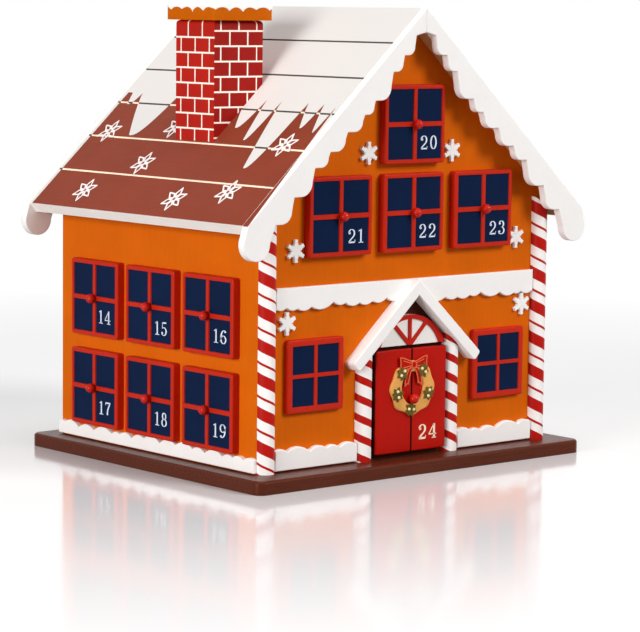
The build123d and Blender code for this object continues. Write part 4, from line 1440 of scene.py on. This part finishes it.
def dripping(outline):
    """Length of the icing below the cap's top at each point of the rim: a base, plus one minus the 0.6th
    power of a sine along the rim, with some drips longer than others."""
    way = np.cumsum(np.r_[0, np.linalg.norm(np.diff(outline, axis=0), axis=1)])
    wave = np.abs(np.sin(np.pi * way / drip_length)) ** 0.6
    longer = 1 + longer_share * np.sin(2 * np.pi * way / longer_every)
    return drip_base + drip_reach * longer * (1 - wave)


cap_rim = cap_outline()
cap_board = slab(cap_rim, 0, cap_thickness - board_drop, board_ease)
hang = dripping(cap_rim)
ahead = np.roll(cap_rim, -1, 0) - np.roll(cap_rim, 1, 0)
rim_normal = np.stack([ahead[:, 1], -ahead[:, 0]], 1) / np.linalg.norm(ahead, axis=1, keepdims=True)
# The icing's section, from inside the board down to the drip's tip and up outside it to the top: how far
# out each ring lies, and which share of the drip it hangs
swell = np.array([-1.9, -0.9, 0.0, 0.35, 0.45, 0.45, 0.35, 0.05, -0.6, -1.6])
fall = np.array([0.0, 0.8, 1.0, 0.97, 0.85, 0.45, 0.12, 0.03, 0.0, 0.0])
icing_rings = cap_rim[None] + swell[:, None, None] * rim_normal[None]
icing_levels = cap_thickness - fall[:, None] * hang[None]
icing_levels[0] = cap_thickness - icing_root
icing = tube(np.concatenate([icing_rings, icing_levels[..., None]], 2), 1)
offset = [cap_middle[0], cap_middle[1], cap_low[2]]
cap_parts = [shifted(part, offset) for part in (cap_board, icing)]
make("chimney_cap_look", cap_parts, "house", [cap_paint, icing_edge], ["chimney_cap"])
print("cap with icing, longest drip", hang.max().round(1), "mm")

# %% [markdown]
# ## Fanlight
# Above the door is a white half-round panel with a red rim and spokes. Its CAD solids already have the
# shape. Each could have a material of its own, but they come as one mesh, and only the bars stand out from
# the panel. So the finish goes by depth: red in front of the panel's face and white behind it.

# %% Fanlight finish
bar_thickness = 1.0
face_tolerance = 0.05
fan_ease = 0.25
panel_face = box_mm("fanlight")[0][1] + bar_thickness


def in_front(tree, coords):
    """1 where the surface lies in front of the panel's face."""
    return sums(tree, "LESS_THAN", parted(tree, coords)[1], float(panel_face - face_tolerance) * MM)


fan_paint = two_tone("fanlight_white_and_red", linear(240, 236, 230), linear(184, 26, 10), in_front,
                     0.45, 0.02, (300, 300, 300), 0.05)
eased("fanlight", fan_paint, fan_ease)
print("fanlight bars in front of", round(float(panel_face), 2), "mm")

# %% [markdown]
# ## Floor
# The studio has a glossy white floor that fades into a white background. A curved backdrop could do that,
# but it would stand in the way of views from behind, so the floor itself turns white with the distance. A
# white floor would throw so much light back up that the shade under the roof vanishes, so the floor is grey
# for light that bounces off it.

# %% Floor
floor_size = 6.0
floor_roughness = 0.11
mirror_start, mirror_end, mirror_near, mirror_far = 0.2, 0.6, 0.5, 0.1
fade_start, fade_end = 0.35, 1.1
WHITE, FLOOR_WHITE, GREY = (1, 1, 1, 1), (0.95, 0.945, 0.945, 1), (0.3, 0.3, 0.3, 1)
floor_mesh = bpy.data.meshes.new("studio_floor")
floor_corners = [(x * floor_size, y * floor_size, 0) for x, y in ((-1, -1), (1, -1), (1, 1), (-1, 1))]
floor_mesh.from_pydata(floor_corners, [], [(0, 1, 2, 3)])
floor = bpy.data.objects.new("studio_floor", floor_mesh)
bpy.context.collection.objects.link(floor)
floor_paint = bpy.data.materials.new("studio_floor_white")
floor_paint.use_nodes = True
tree = floor_paint.node_tree
tree.nodes.clear()
matt = add(tree, "ShaderNodeBsdfDiffuse", {"Color": FLOOR_WHITE})
gloss = add(tree, "ShaderNodeBsdfGlossy", {"Color": WHITE, "Roughness": floor_roughness})
path = tree.nodes.new("ShaderNodeLightPath")
ground = add(tree, "ShaderNodeTexCoord", output=3)
distance = add(tree, "ShaderNodeVectorMath", {0: ground}, 1, operation="LENGTH")
mirrored = ranged(tree, distance, mirror_start, mirror_end, mirror_near, mirror_far)
polished = add(tree, "ShaderNodeMixShader", {0: mirrored, 1: matt, 2: gloss})
far = ranged(tree, distance, fade_start, fade_end, 0.0, 1.0)
white = add(tree, "ShaderNodeEmission", {"Color": WHITE, "Strength": 1.0})
seen_far = sums(tree, "MULTIPLY", far, path.outputs["Is Camera Ray"])
seen = add(tree, "ShaderNodeMixShader", {0: seen_far, 1: polished, 2: white})
dim = add(tree, "ShaderNodeBsdfDiffuse", {"Color": GREY})
bounced = add(tree, "ShaderNodeMixShader", {0: path.outputs["Is Diffuse Ray"], 1: seen, 2: dim})
output = tree.nodes.new("ShaderNodeOutputMaterial")
tree.links.new(bounced, output.inputs["Surface"])
floor_mesh.materials.append(floor_paint)
print("floor", 2 * floor_size, "m wide")

# %% [markdown]
# ## Light
# The photograph has soft light from several sides. The world alone could light the house, but then all walls
# would be about equally bright. So three lamps do the work: a low one on the left lights the left wall, one
# on the right lights the front from above, so that the barge boards shade the gable, and a weaker one
# overhead lights the roof. The world is white for the camera and in reflections, and dimmer as a light.

# %% World and lamps
world = bpy.data.worlds.new("studio")
bpy.context.scene.world = world
world.use_nodes = True
tree = world.node_tree
tree.nodes.clear()
rays = tree.nodes.new("ShaderNodeLightPath")
bright = sums(tree, "MAXIMUM", rays.outputs["Is Camera Ray"], sums(
    tree, "MAXIMUM", rays.outputs["Is Glossy Ray"], rays.outputs["Is Transmission Ray"]))
ambient = 0.23
strength = ranged(tree, bright, 0.0, 1.0, ambient, 1.0)
sky = add(tree, "ShaderNodeBackground", {"Color": WHITE, "Strength": strength})
tree.links.new(sky, tree.nodes.new("ShaderNodeOutputWorld").inputs["Surface"])


def soft_lamp(name, spot, aim_at, size, power):
    """A square area lamp at a spot, turned towards a point: its third axis leads away from the point, its
    first is level, and its second is the cross product of the two."""
    lamp = bpy.data.lights.new(name, "AREA")
    lamp.size = size
    lamp.energy = power
    piece = bpy.data.objects.new(name, lamp)
    bpy.context.collection.objects.link(piece)
    away = np.array(spot, float) - aim_at
    away /= np.linalg.norm(away)
    side = np.cross([0, 0, 1.0], away)
    side /= np.linalg.norm(side)
    piece.matrix_world = posed(np.stack([side, np.cross(away, side), away], 1), spot)


house_middle = np.array([0, 0, 0.15])
soft_lamp("left_window", (-3.3, -0.5, 0.65), house_middle, 1.6, 102)
soft_lamp("right_window", (1.6, -3.2, 2.2), house_middle, 1.6, 117)
soft_lamp("ceiling", (-0.3, -0.6, 3.6), house_middle, 1.4, 44)
print("three lamps and an ambient of", ambient)

# %% [markdown]
# ## Colours as written
# Standard view keeps colours as written.

# %% Colour view
bpy.context.scene.view_settings.view_transform = "Standard"
